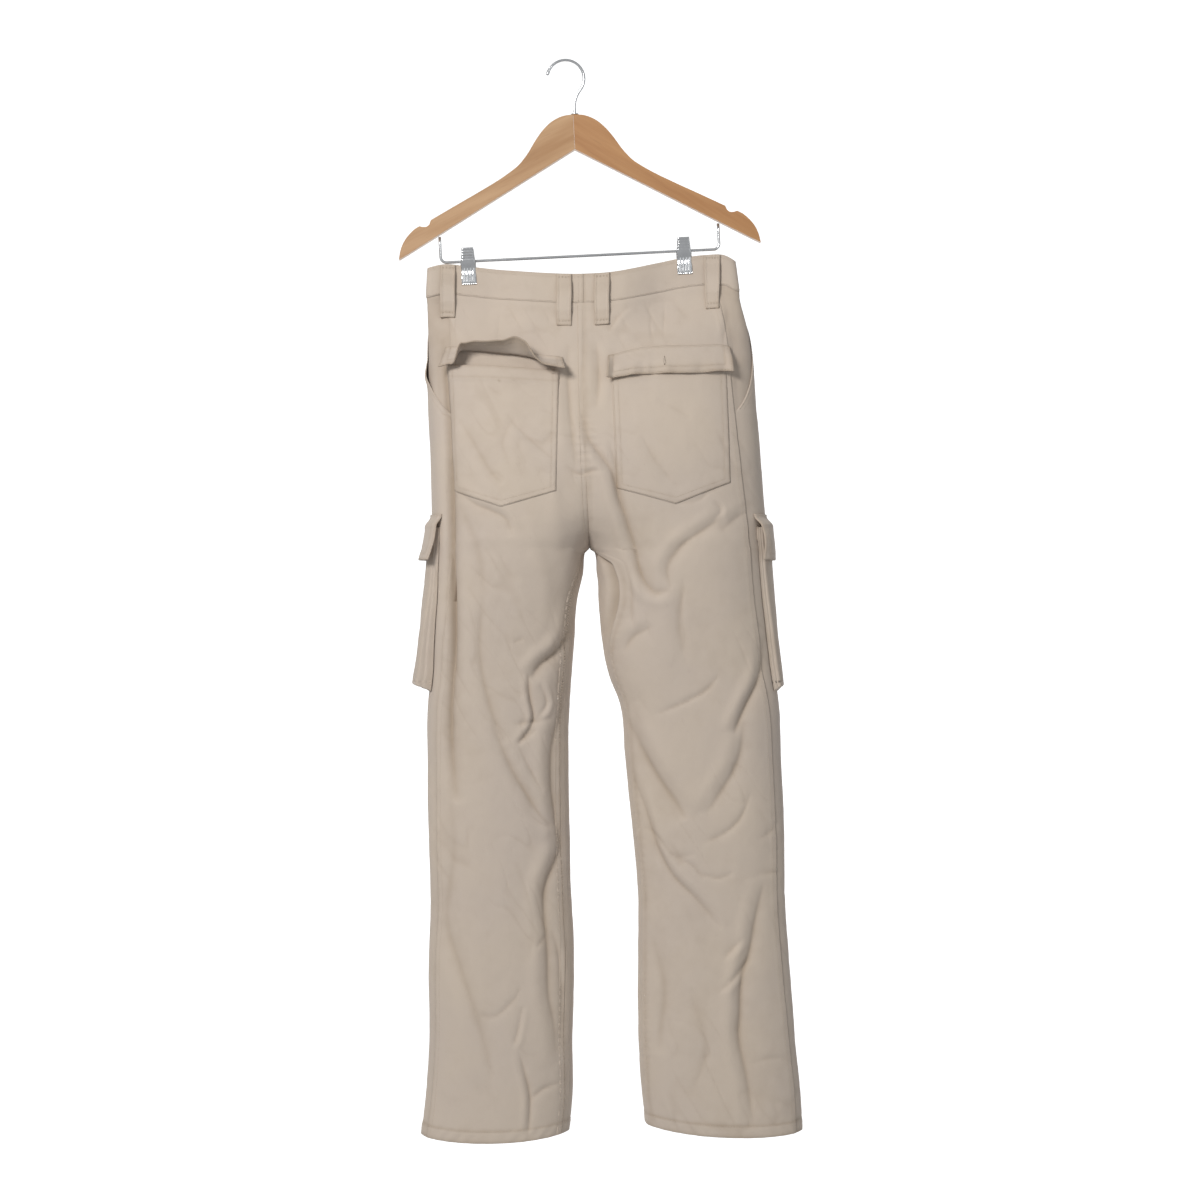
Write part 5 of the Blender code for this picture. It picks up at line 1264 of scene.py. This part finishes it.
# Height from the bar, distance from the hanger's plane, and half-width.
PLATE = np.array([(-28.7, CLOSED, 9), (-17, CLOSED, 9), (-8, CLOSED + 0.2, 9), (-3, CLOSED + 2.6, 9),
                  (2.5, CLOSED + 3.6, 8.1), (8, CLOSED + 4.6, 7.4), (15.9, CLOSED + 6.2, 6.8)])
for side, place in CLIP_PLACES.items():
    for face, sign in (("back", -1), ("front", 1)):
        height = np.linspace(PLATE[0, 0], PLATE[-1, 0], 64)[:, None]
        across = np.linspace(-1, 1, 35)[None, :]
        out, half = (through(PLATE[:, 0], PLATE[:, k], height) for k in (1, 2))
        body = 1 - eased((height + 7) / 4)
        ribs = 0.55 * bell((np.abs(across) - 0.22) / 0.07) + 0.55 * bell((np.abs(across) - 0.62) / 0.07)
        grip = 0.75 * np.clip(np.sin(height * 1.9), -0.4, 1) * eased((height + 1) / 3) * (1 - np.abs(across) ** 6)
        turned = 1.5 * eased((np.abs(across) - 0.88) / 0.12)
        teeth = -0.5 * bell((height + 27.4) / 0.8) * np.clip(np.cos(across * 22), 0, 1)
        stand = out + ribs * body * eased((height + 27) / 2) + grip - turned * eased((height + 22) / 8) + teeth
        grid = hung(place + across * half, sign * stand, height - BAR_DROP + 0 * across)
        plate = cloth_piece(f"hanger_clip_{side}_{face}_plate", grid, grid[..., ::2], 0.8, CHROME.material)
        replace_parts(plate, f"hanger_clip_{side}_{face}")
    turn = np.linspace(0, 2 * np.pi * 6, 150)
    coil = hung(place + np.linspace(-4.1, 4.1, 150), 2.75 * np.cos(turn), 2.75 * np.sin(turn) - BAR_DROP)
    along = np.gradient(coil, axis=0)
    along /= np.linalg.norm(along, axis=1, keepdims=True)
    centre = hung(place + np.linspace(-4.1, 4.1, 150), 0.0 * turn, 0.0 * turn - BAR_DROP)
    flat = (coil - centre) / 2.75
    up = np.cross(along, flat)
    ring = np.linspace(0, 2 * np.pi, 10, endpoint=False)[None, :, None]
    rings = coil[:, None] + 0.5 * (np.cos(ring) * flat[:, None] + np.sin(ring) * up[:, None])
    spring = closed_piece(f"hanger_clip_{side}_coil", rings, CHROME.material)
    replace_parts(spring, f"hanger_clip_{side}_spring")

# -----------------------------------------------------------------------------------------------------------
# Studio: a pale floor that sweeps up into a pale backdrop, one large soft light from the upper left, a weaker one
# from the right, and an even glow all round.
# -----------------------------------------------------------------------------------------------------------

sweep = np.array([(0.3, -2.35), (1.2, -2.33), (2.4, -2.2), (3.5, -1.8), (3.9, -1.2), (3.9, 2.6)])
fine = np.linspace(0, len(sweep) - 1, 41)
depth, height = through(np.arange(len(sweep)), sweep[:, 0], fine), through(np.arange(len(sweep)), sweep[:, 1], fine)
wide = np.array([-4.0, 4.0])
points = np.stack(np.broadcast_arrays(wide, depth[:, None], height[:, None]), axis=-1)
index = np.arange(points.size // 3).reshape(-1, 2)
paper = bpy.data.meshes.new("backdrop")
paper.from_pydata(points.reshape(-1, 3).tolist(), [],
                  np.stack([index[:-1, 0], index[:-1, 1], index[1:, 1], index[1:, 0]], axis=-1).tolist())
paper.shade_smooth()
PAPER = Finish("white paper", {"Base Color": (0.93, 0.93, 0.93), "Roughness": 1.0, "Specular IOR Level": 0.0,
                               "Emission Color": (1.0, 1.0, 1.0), "Emission Strength": 0.55})
paper.materials.append(PAPER.material)
backdrop = bpy.data.objects.new("backdrop", paper)
bpy.context.scene.collection.objects.link(backdrop)

world = bpy.data.worlds.new("studio")
world.use_nodes = True
world.node_tree.nodes["Background"].inputs["Color"].default_value = (0.95, 0.97, 1.0, 1.0)
world.node_tree.nodes["Background"].inputs["Strength"].default_value = 0.36
bpy.context.scene.world = world
for name, place, size, power, colour in (
    ("key", (-1.5, -3.0, 0.95), 1.0, 96.0, (1.0, 0.985, 0.96)),
    ("fill", (1.8, -2.6, -0.3), 2.0, 8.0, (0.96, 0.98, 1.0)),
):
    light = bpy.data.lights.new(name, "AREA")
    light.shape, light.size, light.energy, light.color = "SQUARE", size, power, colour
    lamp = bpy.data.objects.new(name, light)
    bpy.context.scene.collection.objects.link(lamp)
    lamp.location = place
    aim = np.array([0.05, 0.0, -0.65]) - np.array(place)
    lamp.rotation_euler = (math.acos(-aim[2] / np.linalg.norm(aim)), 0.0, math.atan2(-aim[0], aim[1]))

lens = bpy.data.cameras.new("camera")
lens.lens, lens.sensor_width = 75.9, 36.0
camera = bpy.data.objects.new("camera", lens)
bpy.context.scene.collection.objects.link(camera)
camera.location, camera.rotation_euler = (0.0423, -3.1, -0.6596), (math.pi / 2, 0.0, 0.0)
bpy.context.scene.camera = camera
bpy.context.scene.view_settings.view_transform = "Standard"
